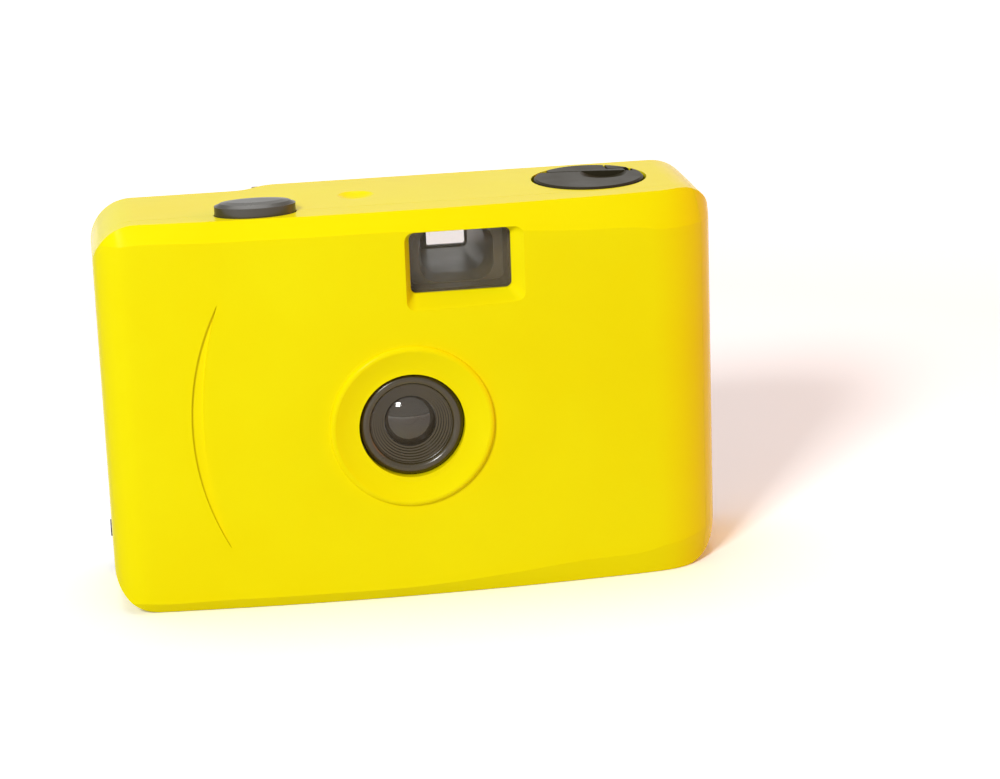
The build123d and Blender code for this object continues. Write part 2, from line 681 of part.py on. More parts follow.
# Front cover: bowed face, slanted bands, lens ring, viewfinder recess and grip line
with BuildPart() as front_cover:
    block(-WIDTH, WIDTH, -10, SEAM_DEPTH, -10, HEIGHT + 10)
    add(outer, mode=Mode.INTERSECT)
    add(hollow, mode=Mode.SUBTRACT)
    with BuildSketch(lens_section):
        with BuildLine():
            rim = Line((RING_RADIUS, WALL), (RING_RADIUS, -0.15 * RING_HEIGHT))
            edge = ThreePointArc(
                rim @ 1,
                (RING_RADIUS - 0.3 * RING_EDGE_WIDTH, -0.8 * RING_HEIGHT),
                (RING_RADIUS - RING_EDGE_WIDTH, -RING_HEIGHT),
            )
            dish = ThreePointArc(
                edge @ 1,
                (RING_DISH_RADIUS, -0.35 * RING_HEIGHT),
                (LENS_HOLE_RADIUS, 0.1),
            )
            Polyline(dish @ 1, (LENS_HOLE_RADIUS, WALL + 0.6), (RING_RADIUS, WALL + 0.6), rim @ 0)
        make_face()
    revolve(axis=lens_axis)
    level(LENS_X, LENS_Z, -5, SEAM_DEPTH, LENS_HOLE_RADIUS, Mode.SUBTRACT)
    add(window_frame)
    with BuildSketch(depth_plane(WINDOW_DEPTH)):
        with Locations((FINDER_X, FINDER_Z)):
            RectangleRounded(WINDOW_WIDTH, WINDOW_HEIGHT, WINDOW_CORNER)
    with BuildSketch(depth_plane(-WINDOW_DEPTH)):
        recess_x = FINDER_X + WINDOW_SLOPE_RIGHT - WINDOW_SLOPE_LEFT
        with Locations((recess_x, FINDER_Z + WINDOW_SLOPE_TOP - WINDOW_SLOPE_BOTTOM)):
            RectangleRounded(
                WINDOW_WIDTH + 2 * (WINDOW_SLOPE_LEFT + WINDOW_SLOPE_RIGHT),
                WINDOW_HEIGHT + 2 * (WINDOW_SLOPE_TOP + WINDOW_SLOPE_BOTTOM),
                2 * WINDOW_CORNER,
            )
    loft(mode=Mode.SUBTRACT)
    with BuildSketch(depth_plane(WINDOW_DEPTH - 0.05)):
        with Locations((FINDER_X, FINDER_Z)):
            RectangleRounded(WINDOW_WIDTH, WINDOW_HEIGHT, WINDOW_CORNER)
    extrude(amount=-2 * FINDER_GLASS, mode=Mode.SUBTRACT)
    block(
        FINDER_X - WINDOW_WIDTH / 2 - WINDOW_REBATE,
        FINDER_X + WINDOW_WIDTH / 2 + WINDOW_REBATE,
        FINDER_GLASS_DEPTH,
        FINDER_GLASS_DEPTH + 2,
        WINDOW_LOW - WINDOW_REBATE,
        WINDOW_HIGH + WINDOW_REBATE,
        Mode.SUBTRACT,
    )
    add(grip_cutter.part, mode=Mode.SUBTRACT)
    add(button_hole, mode=Mode.SUBTRACT)
    tab_low = WALL + FIT_GAP
    tab_high = HEIGHT - WALL - FIT_GAP - TAB_THICKNESS
    for tab_x, tab_z, root_low, root_high in (
        (TAB_FROM_SIDE - HALF_WIDTH, tab_low, WALL - 0.3, tab_low + TAB_THICKNESS),
        (0, tab_low, WALL - 0.3, tab_low + TAB_THICKNESS),
        (HALF_WIDTH - TAB_FROM_SIDE, tab_low, WALL - 0.3, tab_low + TAB_THICKNESS),
        (0, tab_high, tab_high, HEIGHT - WALL + 0.3),
    ):
        left = tab_x - TAB_WIDTH / 2
        right = tab_x + TAB_WIDTH / 2
        block(left, right, SEAM_DEPTH - 1.2, SEAM_DEPTH, root_low, root_high)
        block(left, right, SEAM_DEPTH - 1.2, SEAM_DEPTH + TAB_REACH, tab_z, tab_z + TAB_THICKNESS)
save(front_cover.part, "front_cover")

# Body shell: the yellow band behind the front cover
with BuildPart() as body_shell:
    block(-WIDTH, WIDTH, SEAM_DEPTH + SEAM_GAP, DEPTH, -10, HEIGHT + 10)
    add(outer, mode=Mode.INTERSECT)
    add(hollow, mode=Mode.SUBTRACT)
    add(rear_zone, mode=Mode.SUBTRACT)
    upright(CASSETTE_X, CASSETTE_DEPTH, WELL_FLOOR_Z - 1.2, HEIGHT - WALL / 2, WELL_RADIUS + WELL_WALL)
    block(-WIDTH, WIDTH, 0, SEAM_DEPTH + SEAM_GAP, 0, HEIGHT, Mode.SUBTRACT)
    upright(CASSETTE_X, CASSETTE_DEPTH, WELL_FLOOR_Z, HEIGHT + 1, WELL_RADIUS, Mode.SUBTRACT)
    upright(CASSETTE_X, CASSETTE_DEPTH, BAY_TOP_Z, HEIGHT, REWIND_SHAFT_RADIUS + RUN_GAP, Mode.SUBTRACT)
    add(button_hole, mode=Mode.SUBTRACT)
    for screw_x, screw_depth in CASE_SCREWS:
        upright(screw_x, screw_depth, WALL - 0.3, FOOT_Z - 0.05, FOOT_RADIUS + 0.3)
    for screw_x, screw_depth in CASE_SCREWS:
        upright(screw_x, screw_depth, -1, 3, SCREW_RADIUS + 0.1, Mode.SUBTRACT)
        upright(screw_x, screw_depth, -1, SCREW_HEAD + 0.3, SCREW_HEAD_RADIUS + 0.1, Mode.SUBTRACT)
    upright(SPROCKET_X, SPROCKET_DEPTH, -1, 3, RELEASE_RADIUS + FIT_GAP, Mode.SUBTRACT)
    with Locations(at(DIMPLE_X, DIMPLE_DEPTH, HEIGHT - DIMPLE_DROP)):
        Sphere(
            (DIMPLE_RADIUS ** 2 + DIMPLE_DROP ** 2) / (2 * DIMPLE_DROP),
            align=(Align.CENTER, Align.CENTER, Align.MIN),
            mode=Mode.SUBTRACT,
        )
    block(
        -WIDTH,
        2 * WALL - HALF_WIDTH,
        LUG_DEPTH - LUG_LENGTH / 2 - 0.1,
        LUG_DEPTH + LUG_LENGTH / 2 + 0.1,
        LUG_Z - LUG_HEIGHT / 2 - 0.1,
        LUG_Z + LUG_HEIGHT / 2 + 0.1,
        Mode.SUBTRACT,
    )
save(body_shell.part, "body_shell")

# Strap lug: a cup through the left wall with a bar across its mouth, and a flange inside
lug_face_x = -HALF_WIDTH
lug_pocket_x = lug_face_x + LUG_POCKET
lug_flange_x = lug_face_x + WALL + 0.05
with BuildPart() as strap_lug:
    for x0, x1, grow, mode in (
        (lug_face_x, lug_pocket_x + LUG_RIM, 0.0, Mode.ADD),
        (lug_flange_x, lug_flange_x + 0.6, LUG_RIM, Mode.ADD),
        (lug_face_x - 1, lug_pocket_x, -LUG_RIM, Mode.SUBTRACT),
    ):
        block(
            x0,
            x1,
            LUG_DEPTH - LUG_LENGTH / 2 - grow,
            LUG_DEPTH + LUG_LENGTH / 2 + grow,
            LUG_Z - LUG_HEIGHT / 2 - grow,
            LUG_Z + LUG_HEIGHT / 2 + grow,
            mode,
        )
    block(
        lug_face_x - LUG_PROUD,
        lug_face_x + 0.5,
        LUG_DEPTH - LUG_LENGTH / 2,
        LUG_DEPTH + LUG_LENGTH / 2,
        LUG_Z - LUG_BAR / 2,
        LUG_Z + LUG_BAR / 2,
    )
save(strap_lug.part, "strap_lug")

# Chassis: floor, decks, bays for cassette, sprocket and spool, lens board and film gate
with BuildPart() as chassis:
    board_back = BOARD_DEPTH + BOARD_THICKNESS
    block(CHASSIS_LEFT, CHASSIS_RIGHT, CHASSIS_FRONT, FILM_DEPTH, FLOOR_Z, BAY_FLOOR_Z)
    block(CHASSIS_LEFT, FINDER_BAY_LEFT, CHASSIS_FRONT, FILM_DEPTH, BAY_TOP_Z, DECK_TOP_Z)
    block(FINDER_BAY_RIGHT - RIB / 2, CHASSIS_RIGHT, CHASSIS_FRONT, FILM_DEPTH, BAY_TOP_Z, DECK_TOP_Z)
    block(BOARD_LEFT, FINDER_BAY_RIGHT, BOARD_DEPTH, board_back, FLOOR_Z, FINDER_FLOOR_Z)
    block(BOARD_LEFT, FINDER_BAY_LEFT, BOARD_DEPTH, board_back, FLOOR_Z, DECK_TOP_Z)
    finder_deck_z = FINDER_FLOOR_Z - RIB
    block(FINDER_BAY_LEFT - RIB, FINDER_BAY_RIGHT, BOARD_DEPTH, FILM_DEPTH, finder_deck_z, FINDER_FLOOR_Z)
    block(FINDER_BAY_LEFT - RIB, FINDER_BAY_LEFT, BOARD_DEPTH, FILM_DEPTH, finder_deck_z, DECK_TOP_Z)
    block(FINDER_BAY_RIGHT - RIB, FINDER_BAY_RIGHT, BOARD_DEPTH, FILM_DEPTH, FLOOR_Z, DECK_TOP_Z)
    gate_front = FILM_DEPTH - GATE_PLATE
    block(FINDER_BAY_LEFT - RIB - 0.5, FINDER_BAY_RIGHT, gate_front, FILM_DEPTH, FLOOR_Z, FINDER_FLOOR_Z)
    spool_outer = SPOOL_BAY_RADIUS + BAY_WALL
    upright(SPOOL_X, SPOOL_DEPTH, FLOOR_Z, DECK_TOP_Z, spool_outer)
    block(SPOOL_X - spool_outer, SPOOL_X + spool_outer, SPOOL_DEPTH, FILM_DEPTH, FLOOR_Z, DECK_TOP_Z)
    upright(CASSETTE_X, CASSETTE_DEPTH, FLOOR_Z, DECK_TOP_Z, BAY_RADIUS + BAY_WALL)
    block(FINDER_BAY_RIGHT - 0.6, CHASSIS_RIGHT, CASSETTE_DEPTH, FILM_DEPTH, FLOOR_Z, DECK_TOP_Z)
    upright(SPROCKET_X, SPROCKET_DEPTH, FLOOR_Z, DECK_TOP_Z, SPROCKET_BAY_RADIUS + BAY_WALL)
    with BuildSketch(depth_plane(BOARD_DEPTH)):
        with Locations((LENS_X, LENS_Z)):
            Rectangle(TUNNEL_MOUTH + 2 * TUNNEL_RIB, TUNNEL_MOUTH + 2 * TUNNEL_RIB)
    with BuildSketch(depth_plane(FILM_DEPTH)):
        with Locations((LENS_X, LENS_Z)):
            Rectangle(GATE_WIDTH + TUNNEL_RIB, GATE_HEIGHT + 2 * TUNNEL_RIB)
    loft()
    upright(SPOOL_X, SPOOL_DEPTH, BAY_FLOOR_Z, BAY_TOP_Z, SPOOL_BAY_RADIUS, Mode.SUBTRACT)
    block(
        SPOOL_X - SPOOL_BAY_RADIUS,
        SPOOL_X + SPOOL_BAY_RADIUS,
        SPOOL_DEPTH,
        FILM_DEPTH + 1,
        BAY_FLOOR_Z,
        BAY_TOP_Z,
        Mode.SUBTRACT,
    )
    upright(CASSETTE_X, CASSETTE_DEPTH, BAY_FLOOR_Z, BAY_TOP_Z, BAY_RADIUS, Mode.SUBTRACT)
    block(
        CASSETTE_X - BAY_RADIUS,
        CASSETTE_X + BAY_RADIUS,
        CASSETTE_DEPTH,
        FILM_DEPTH + 1,
        BAY_FLOOR_Z,
        BAY_TOP_Z,
        Mode.SUBTRACT,
    )
    upright(SPROCKET_X, SPROCKET_DEPTH, BAY_FLOOR_Z, BAY_TOP_Z, SPROCKET_BAY_RADIUS, Mode.SUBTRACT)
    with BuildSketch(depth_plane(board_back)):
        with Locations((LENS_X, LENS_Z)):
            Rectangle(TUNNEL_MOUTH, TUNNEL_MOUTH)
    with BuildSketch(depth_plane(FILM_DEPTH)):
        with Locations((LENS_X, LENS_Z)):
            Rectangle(GATE_WIDTH, GATE_HEIGHT)
    loft(mode=Mode.SUBTRACT)
    level(LENS_X, LENS_Z, BOARD_DEPTH - 1, board_back + 1, BOARD_HOLE_RADIUS, Mode.SUBTRACT)
    upright(CASSETTE_X, CASSETTE_DEPTH, 1, BAY_FLOOR_Z, HUB_WELL_RADIUS + 1)
    upright(CASSETTE_X, CASSETTE_DEPTH, 0, BAY_FLOOR_Z + 1, HUB_WELL_RADIUS, Mode.SUBTRACT)
    for screw_x, screw_depth in CASE_SCREWS:
        upright(screw_x, screw_depth, FOOT_Z, BAY_FLOOR_Z, FOOT_RADIUS)
    add(chassis_limit, mode=Mode.INTERSECT)
    add(behind_edge(FIT_GAP - 0.05), mode=Mode.SUBTRACT)
    pad_left = WHEEL_X - PAD_HALF_WIDTH
    pad_right = WHEEL_X + PAD_HALF_WIDTH
    block(pad_left, pad_right, WHEEL_DEPTH - PAD_FRONT, WHEEL_DEPTH + PAD_REAR, PAD_Z, PAD_TOP_Z)
    block(pad_left, pad_right, WHEEL_DEPTH - PAD_FRONT, REAR_EDGE_LEFT, DECK_TOP_Z - 0.1, PAD_TOP_Z)
    upright(DIAL_X, DIAL_DEPTH, DECK_TOP_Z - 0.5, DIAL_TOP_Z + 0.1, DIAL_POST_RADIUS)
    upright(DIAL_X, DIAL_DEPTH, DECK_TOP_Z - 0.5, DIAL_Z - 0.05, DIAL_POST_RADIUS + 0.6)
    upright(STOP_PIVOT_X, STOP_PIVOT_DEPTH, DECK_TOP_Z - 0.5, CAM_TOP_Z + 0.4, PIN_RADIUS)
    for tower_x in REAR_SCREWS:
        tower_base = DECK_TOP_Z if tower_x > FINDER_BAY_RIGHT else FINDER_FLOOR_Z
        tower_top = REAR_SCREW_Z + 2.2
        block(tower_x - 2, tower_x + 2, FILM_DEPTH - 3.1, FILM_DEPTH - 0.1, tower_base - 0.5, tower_top)
        level(tower_x, REAR_SCREW_Z, FILM_DEPTH - 2.7, DEPTH + 5, SCREW_RADIUS, Mode.SUBTRACT)
    for low_z, high_z in ((KNUCKLE_LOW_Z, KNUCKLE_LOW_Z + KNUCKLE_LENGTH), (KNUCKLE_TOP_Z, DECK_TOP_Z)):
        block(CHASSIS_LEFT, HINGE_X + 2.4, REAR_EDGE_LEFT - 2.5, HINGE_DEPTH, low_z, high_z)
        upright(HINGE_X, HINGE_DEPTH, low_z, high_z, HINGE_RADIUS)
        block(CHASSIS_LEFT, SPOOL_X - SPOOL_BAY_RADIUS, REAR_EDGE_LEFT - 5, REAR_EDGE_LEFT, low_z, high_z)
    upright(HINGE_X, HINGE_DEPTH, 0, HEIGHT, HINGE_PIN_RADIUS, Mode.SUBTRACT)
    block(
        CHASSIS_RIGHT - 0.5,
        DOOR_INNER_X + 0.2,
        CATCH_DEPTH,
        CATCH_DEPTH + 1.1,
        LATCH_Z + 5.5,
        LATCH_Z + 8.2,
    )
    for screw_x, screw_z in SHUTTER_SCREWS:
        level(screw_x, screw_z, SHUTTER_PLATE_DEPTH + SHUTTER_PLATE, BOARD_DEPTH, SHUTTER_BOSS_RADIUS)
        level(screw_x, screw_z, 0, PIN_END_DEPTH, SCREW_RADIUS, Mode.SUBTRACT)
    for pin_x, pin_z in PIVOTS:
        level(pin_x, pin_z, 0, PIN_END_DEPTH, PIN_RADIUS, Mode.SUBTRACT)
    for screw_x, screw_depth in CASE_SCREWS:
        upright(screw_x, screw_depth, 1, BAY_FLOOR_Z - 0.2, SCREW_RADIUS, Mode.SUBTRACT)
    for hole_x, hole_depth in ((SPOOL_X, SPOOL_DEPTH), (SPROCKET_X, SPROCKET_DEPTH)):
        upright(hole_x, hole_depth, 1, 10, SHAFT_LOW_RADIUS + JOURNAL_GAP, Mode.SUBTRACT)
        upright(hole_x, hole_depth, BAY_TOP_Z - 1, HEIGHT, SHAFT_TOP_RADIUS + JOURNAL_GAP, Mode.SUBTRACT)
    upright(WHEEL_X, WHEEL_DEPTH, PAD_Z, HEIGHT, AXLE_RADIUS, Mode.SUBTRACT)
    upright(CASSETTE_X, CASSETTE_DEPTH, BAY_TOP_Z - 1, HEIGHT, REWIND_SHAFT_RADIUS + RUN_GAP, Mode.SUBTRACT)
    upright(BUTTON_X, BUTTON_DEPTH, BAY_TOP_Z - 1, HEIGHT, STEM_RADIUS + JOURNAL_GAP, Mode.SUBTRACT)
save(chassis.part, "chassis")

# Everything above the sloping top of the black cover: steep on the left, slight on the right
step_middle_x = (STEP_START_X + STEP_END_X) / 2
slope_cutters = []
for drop in (0.0, SLOPE_WALL):
    with BuildPart() as slope_cutter:
        for x0, x1, start, slope in (
            (-HALF_WIDTH - 5, step_middle_x, REAR_EDGE_LEFT + FIT_GAP, LEFT_SLOPE),
            (step_middle_x, HALF_WIDTH + 5, REAR_EDGE_RIGHT + FIT_GAP, RIGHT_SLOPE),
        ):
            with BuildSketch(Plane(origin=(x0, 0, 0), x_dir=(0, 1, 0), z_dir=(1, 0, 0))):
                with BuildLine():
                    slope_start_z = HEIGHT - BACK_INSET - drop
                    slope_end_z = slope_start_z - slope * (DEPTH + 2 - start)
                    Polyline(
                        (FRONT_Y + start, slope_start_z),
                        (FRONT_Y + DEPTH + 2, slope_end_z),
                        (FRONT_Y + DEPTH + 2, HEIGHT + 5),
                        (FRONT_Y + start, HEIGHT + 5),
                        close=True,
                    )
                make_face()
            extrude(amount=x1 - x0)
    slope_cutters.append(slope_cutter.part)
above_cover, above_room = slope_cutters

with BuildPart() as cover_room:
    block(-WIDTH, WIDTH, 10, DEPTH + 5, COVER_BOTTOM_Z + SHELF, HEIGHT)
    add(case_form(COVER_INSET, 0.0, BACK_CORNER), mode=Mode.INTERSECT)
    add(above_room, mode=Mode.SUBTRACT)

# Rear top cover: the fixed black part with thumbwheel slot, counter window and eyepiece
with BuildPart() as rear_top_cover:
    block(-WIDTH, WIDTH, REAR_START, DEPTH + 5, COVER_BOTTOM_Z, HEIGHT)
    add(back_outer, mode=Mode.INTERSECT)
    add(black_zone, mode=Mode.INTERSECT)
    add(above_cover, mode=Mode.SUBTRACT)
    add(cover_room.part, mode=Mode.SUBTRACT)
    block(
        NOTCH_LEFT + 0.2,
        NOTCH_RIGHT - 0.2,
        EYEPIECE_DEPTH,
        DEPTH - BACK_INSET,
        NOTCH_Z + 0.2,
        WINDOW_HIGH + 1,
    )
    for screw_x in REAR_SCREWS:
        level(screw_x, REAR_SCREW_Z, FILM_DEPTH + 0.15, DEPTH - BACK_INSET, SCREW_HEAD_RADIUS + 0.6)
        level(screw_x, REAR_SCREW_Z, REAR_START, DEPTH + 5, SCREW_RADIUS + 0.1, Mode.SUBTRACT)
        level(screw_x, REAR_SCREW_Z, DEPTH - 1.4, DEPTH + 5, SCREW_HEAD_RADIUS + 0.1, Mode.SUBTRACT)
    room_left = FINDER_X - 6.4
    room_right = FINDER_X + 6.4
    block(room_left, room_right, REAR_START, EYEPIECE_DEPTH, NOTCH_Z, WINDOW_HIGH + 0.5, Mode.SUBTRACT)
    block(
        WHEEL_X - PAD_HALF_WIDTH - RUN_GAP,
        WHEEL_X + PAD_HALF_WIDTH + RUN_GAP,
        REAR_START,
        WHEEL_DEPTH + PAD_REAR + RUN_GAP,
        BAY_TOP_Z,
        PAD_TOP_Z + RUN_GAP,
        Mode.SUBTRACT,
    )
    upright(SPROCKET_X, SPROCKET_DEPTH, BAY_TOP_Z, CAM_TOP_Z + 0.5, CAM_RADIUS + RUN_GAP, Mode.SUBTRACT)
    upright(WHEEL_X, WHEEL_DEPTH, WHEEL_Z - 0.4, WHEEL_TOP_Z + 0.2, WHEEL_RADIUS + 0.4, Mode.SUBTRACT)
    with BuildSketch(depth_plane(REAR_START)):
        with Locations((EYEPIECE_X, EYEPIECE_Z)):
            RectangleRounded(EYEPIECE_WIDTH, EYEPIECE_HEIGHT, EYEPIECE_CORNER)
    extrude(amount=-DEPTH, mode=Mode.SUBTRACT)
    with BuildSketch(depth_plane(REAR_START)):
        with Locations((EYEPIECE_X, EYEPIECE_Z)):
            RectangleRounded(EYEPIECE_WIDTH + 1.2, EYEPIECE_HEIGHT + 1.0, EYEPIECE_CORNER + 0.2)
    extrude(amount=REAR_START - EYEPIECE_DEPTH - EYEPIECE_LENS - 0.1, mode=Mode.SUBTRACT)
    block(
        DIAL_X - DIAL_WINDOW / 2,
        DIAL_X + DIAL_WINDOW / 2,
        DIAL_DEPTH + 2.8,
        DIAL_DEPTH + 5.3,
        DIAL_TOP_Z,
        HEIGHT + 1,
        Mode.SUBTRACT,
    )
save(rear_top_cover.part, "rear_top_cover")

tray_room = limited_box(
    -WIDTH,
    WIDTH,
    10,
    PANEL_DEPTH,
    0,
    DOOR_TOP_Z - DOOR_WALL,
    case_form(BACK_INSET + DOOR_WALL, 0.0, BACK_CORNER),
)

# Back door: a black tray hinged at the left
with BuildPart() as back_door:
    block(-WIDTH, WIDTH, REAR_START, DEPTH + 5, 0, DOOR_TOP_Z)
    add(back_outer, mode=Mode.INTERSECT)
    add(black_zone, mode=Mode.INTERSECT)
    add(tray_room, mode=Mode.SUBTRACT)
    block(-WIDTH, HINGE_X, REAR_START, HINGE_DEPTH, 0, HEIGHT, Mode.SUBTRACT)
    upright(HINGE_X, HINGE_DEPTH, BARREL_LOW_Z, BARREL_TOP_Z, HINGE_RADIUS)
    for low_z, high_z in (
        (KNUCKLE_LOW_Z - RUN_GAP, BARREL_LOW_Z),
        (BARREL_TOP_Z, DOOR_TOP_Z + 1),
    ):
        upright(HINGE_X, HINGE_DEPTH, low_z, high_z, HINGE_RADIUS + RUN_GAP, Mode.SUBTRACT)
        block(-WIDTH, HINGE_X + 3.4, REAR_START, HINGE_DEPTH + 1.8, low_z, high_z, Mode.SUBTRACT)
    upright(HINGE_X, HINGE_DEPTH, 0, HEIGHT, HINGE_PIN_RADIUS + JOURNAL_GAP, Mode.SUBTRACT)
    block(NOTCH_LEFT, NOTCH_RIGHT, REAR_START, DEPTH + 5, NOTCH_Z, HEIGHT, Mode.SUBTRACT)
    block(
        DOOR_INNER_X + 0.65,
        WIDTH,
        LATCH_DEPTH - 0.75,
        DEPTH - 0.8,
        LATCH_Z - 0.4,
        LATCH_Z + LATCH_LENGTH + LATCH_TRAVEL + 0.4,
        Mode.SUBTRACT,
    )
    block(
        DOOR_INNER_X - 1,
        WIDTH,
        LATCH_DEPTH + 0.5,
        LATCH_DEPTH + 1.8,
        LATCH_Z + 1.8,
        LATCH_Z + 6.2 + LATCH_TRAVEL,
        Mode.SUBTRACT,
    )
save(back_door.part, "back_door")

with BuildPart() as door_hinge_pin:
    upright(HINGE_X, HINGE_DEPTH, KNUCKLE_LOW_Z, DECK_TOP_Z, HINGE_PIN_RADIUS)
save(door_hinge_pin.part, "door_hinge_pin")

# Door latch: an outer thumb pad, a stem through the slot and an inner hook
with BuildPart() as door_latch:
    plate_left = DOOR_INNER_X - 0.15 - LATCH_PLATE
    plate_right = DOOR_INNER_X - 0.15
    pad_back = DEPTH - 1.0
    stem_front = LATCH_DEPTH + 0.65
    plate_back = PANEL_DEPTH - 0.2
    block(DOOR_INNER_X + 0.75, HALF_WIDTH - 0.1, LATCH_DEPTH, pad_back, LATCH_Z, LATCH_Z + LATCH_LENGTH)
    block(plate_right - 0.1, DOOR_INNER_X + 0.8, stem_front, stem_front + 1.0, LATCH_Z + 2, LATCH_Z + 6)
    block(plate_left, plate_right, LATCH_DEPTH + 0.05, plate_back, LATCH_Z, LATCH_Z + LATCH_LENGTH)
    block(plate_left, plate_right, LATCH_HOOK_DEPTH, LATCH_DEPTH + 0.15, LATCH_Z, LATCH_Z + 2)
    block(plate_left, plate_right, LATCH_HOOK_DEPTH, LATCH_HOOK_DEPTH + 0.8, LATCH_Z, LATCH_Z + 4.5)
    for groove in range(5):
        groove_z = LATCH_Z + 1.6 + 1.2 * groove
        block(HALF_WIDTH - 0.4, HALF_WIDTH, LATCH_DEPTH - 1, DEPTH, groove_z, groove_z + 0.5, Mode.SUBTRACT)
save(door_latch.part, "door_latch")

with BuildPart() as pressure_plate:
    block(
        LENS_X - PLATE_WIDTH / 2,
        LENS_X + PLATE_WIDTH / 2,
        PLATE_DEPTH,
        PLATE_DEPTH + PLATE_THICKNESS,
        LENS_Z - PLATE_HEIGHT / 2,
        LENS_Z + PLATE_HEIGHT / 2,
    )
    fillet(pressure_plate.edges().filter_by(Axis.Y), 1.5)
save(pressure_plate.part, "pressure_plate")

# Bowed leaf spring between the pressure plate and the door
leaf_front = PLATE_DEPTH + PLATE_THICKNESS + 0.02
leaf_end = PANEL_DEPTH - 0.02
with BuildPart() as pressure_spring:
    with BuildSketch(Plane(origin=at(LENS_X, 0, LENS_Z - LEAF_WIDTH / 2))):
        with BuildLine():
            half_leaf = LEAF_LENGTH / 2
            front = ThreePointArc(
                (-half_leaf, leaf_end - LEAF_THICKNESS),
                (0, leaf_front),
                (half_leaf, leaf_end - LEAF_THICKNESS),
            )
            end = Line(front @ 1, (half_leaf, leaf_end))
            rear = ThreePointArc(end @ 1, (0, leaf_front + LEAF_THICKNESS), (-half_leaf, leaf_end))
            Line(rear @ 1, front @ 0)
        make_face()
    extrude(amount=LEAF_WIDTH)
save(pressure_spring.part, "pressure_spring")

with BuildPart() as light_seals:
    for seal_z in (FINDER_FLOOR_Z - 1.1, BAY_FLOOR_Z + 0.6):
        seal_left = FINDER_BAY_LEFT - SEAL_WIDTH
        seal_right = FINDER_BAY_RIGHT - SEAL_WIDTH
        block(seal_left, seal_right, PLATE_DEPTH, PANEL_DEPTH, seal_z, seal_z + SEAL_WIDTH)
save(light_seals.part, "light_seals")

# Lens bezel: rounded rim, fine stepped ridges and the barrel behind them
ridge_end_depth = GLASS_SEAT_DEPTH - 0.4
step_width = (RIDGE_OUTER - RIDGE_INNER) / RIDGE_COUNT
step_depth = (ridge_end_depth - RIDGE_START_DEPTH) / RIDGE_COUNT
bezel_points = []
for ridge in range(RIDGE_COUNT):
    ridge_radius = RIDGE_OUTER - ridge * step_width
    ridge_depth = RIDGE_START_DEPTH + ridge * step_depth
    bezel_points.append((ridge_radius, ridge_depth))
    bezel_points.append((ridge_radius - 0.1, ridge_depth + step_depth))
bezel_points += [
    (RIDGE_INNER, ridge_end_depth),
    (RIDGE_INNER, GLASS_SEAT_DEPTH),
    (GLASS_RADIUS + 0.05, GLASS_SEAT_DEPTH),
    (GLASS_RADIUS + 0.05, BEZEL_BACK_DEPTH),
    (BARREL_RADIUS, BEZEL_BACK_DEPTH),
    (BARREL_RADIUS, BARREL_START_DEPTH),
    (BEZEL_RADIUS, BARREL_START_DEPTH),
]
with BuildPart() as lens_bezel:
    with BuildSketch(lens_section):
        with BuildLine():
            rim = Spline(*BEZEL_RIM)
            Polyline(rim @ 1, *bezel_points, rim @ 0)
        make_face()
    revolve(axis=lens_axis)
save(lens_bezel.part, "lens_bezel")

glass_front = GLASS_SEAT_DEPTH + 0.02
with BuildPart() as taking_lens:
    with BuildSketch(lens_section):
        with BuildLine():
            bulge = ThreePointArc(
                (0, glass_front - GLASS_BULGE),
                (RIDGE_INNER / 2, glass_front - 0.76 * GLASS_BULGE),
                (RIDGE_INNER - 0.1, glass_front),
            )
            Polyline(
                bulge @ 1,
                (GLASS_RADIUS, glass_front),
                (GLASS_RADIUS, GLASS_SEAT_DEPTH + GLASS_THICKNESS),
                (0, GLASS_SEAT_DEPTH + GLASS_THICKNESS),
                bulge @ 0,
            )
        make_face()
    revolve(axis=lens_axis)
save(taking_lens.part, "taking_lens")

retainer_depth = GLASS_SEAT_DEPTH + GLASS_THICKNESS + 0.02
with BuildPart() as lens_retainer:
    level(LENS_X, LENS_Z, retainer_depth, retainer_depth + RETAINER_THICKNESS, GLASS_RADIUS + 0.03)
    level(LENS_X, LENS_Z, 0, 10, GLASS_RADIUS - 1.2, Mode.SUBTRACT)
save(lens_retainer.part, "lens_retainer")

aperture_depth = retainer_depth + RETAINER_THICKNESS + 0.02
with BuildPart() as aperture_plate:
    level(LENS_X, LENS_Z, aperture_depth, aperture_depth + APERTURE_PLATE, GLASS_RADIUS + 0.03)
    level(LENS_X, LENS_Z, 0, 10, APERTURE_RADIUS, Mode.SUBTRACT)
save(aperture_plate.part, "aperture_plate")

with BuildPart() as shutter_plate:
    block(
        SHUTTER_PLATE_LEFT,
        SHUTTER_PLATE_RIGHT,
        SHUTTER_PLATE_DEPTH,
        SHUTTER_PLATE_DEPTH + SHUTTER_PLATE - 0.02,
        SHUTTER_PLATE_LOW,
        SHUTTER_PLATE_HIGH,
    )
    fillet(shutter_plate.edges().filter_by(Axis.Y), 1.5)
    level(LENS_X, LENS_Z, 0, 10, SHUTTER_HOLE_RADIUS, Mode.SUBTRACT)
    for screw_x, screw_z in SHUTTER_SCREWS:
        level(screw_x, screw_z, 0, 10, SCREW_RADIUS + 0.1, Mode.SUBTRACT)
    for pin_x, pin_z in PIVOTS[1:]:
        level(pin_x, pin_z, 0, 10, PIN_RADIUS + 0.03, Mode.SUBTRACT)
save(shutter_plate.part, "shutter_plate")

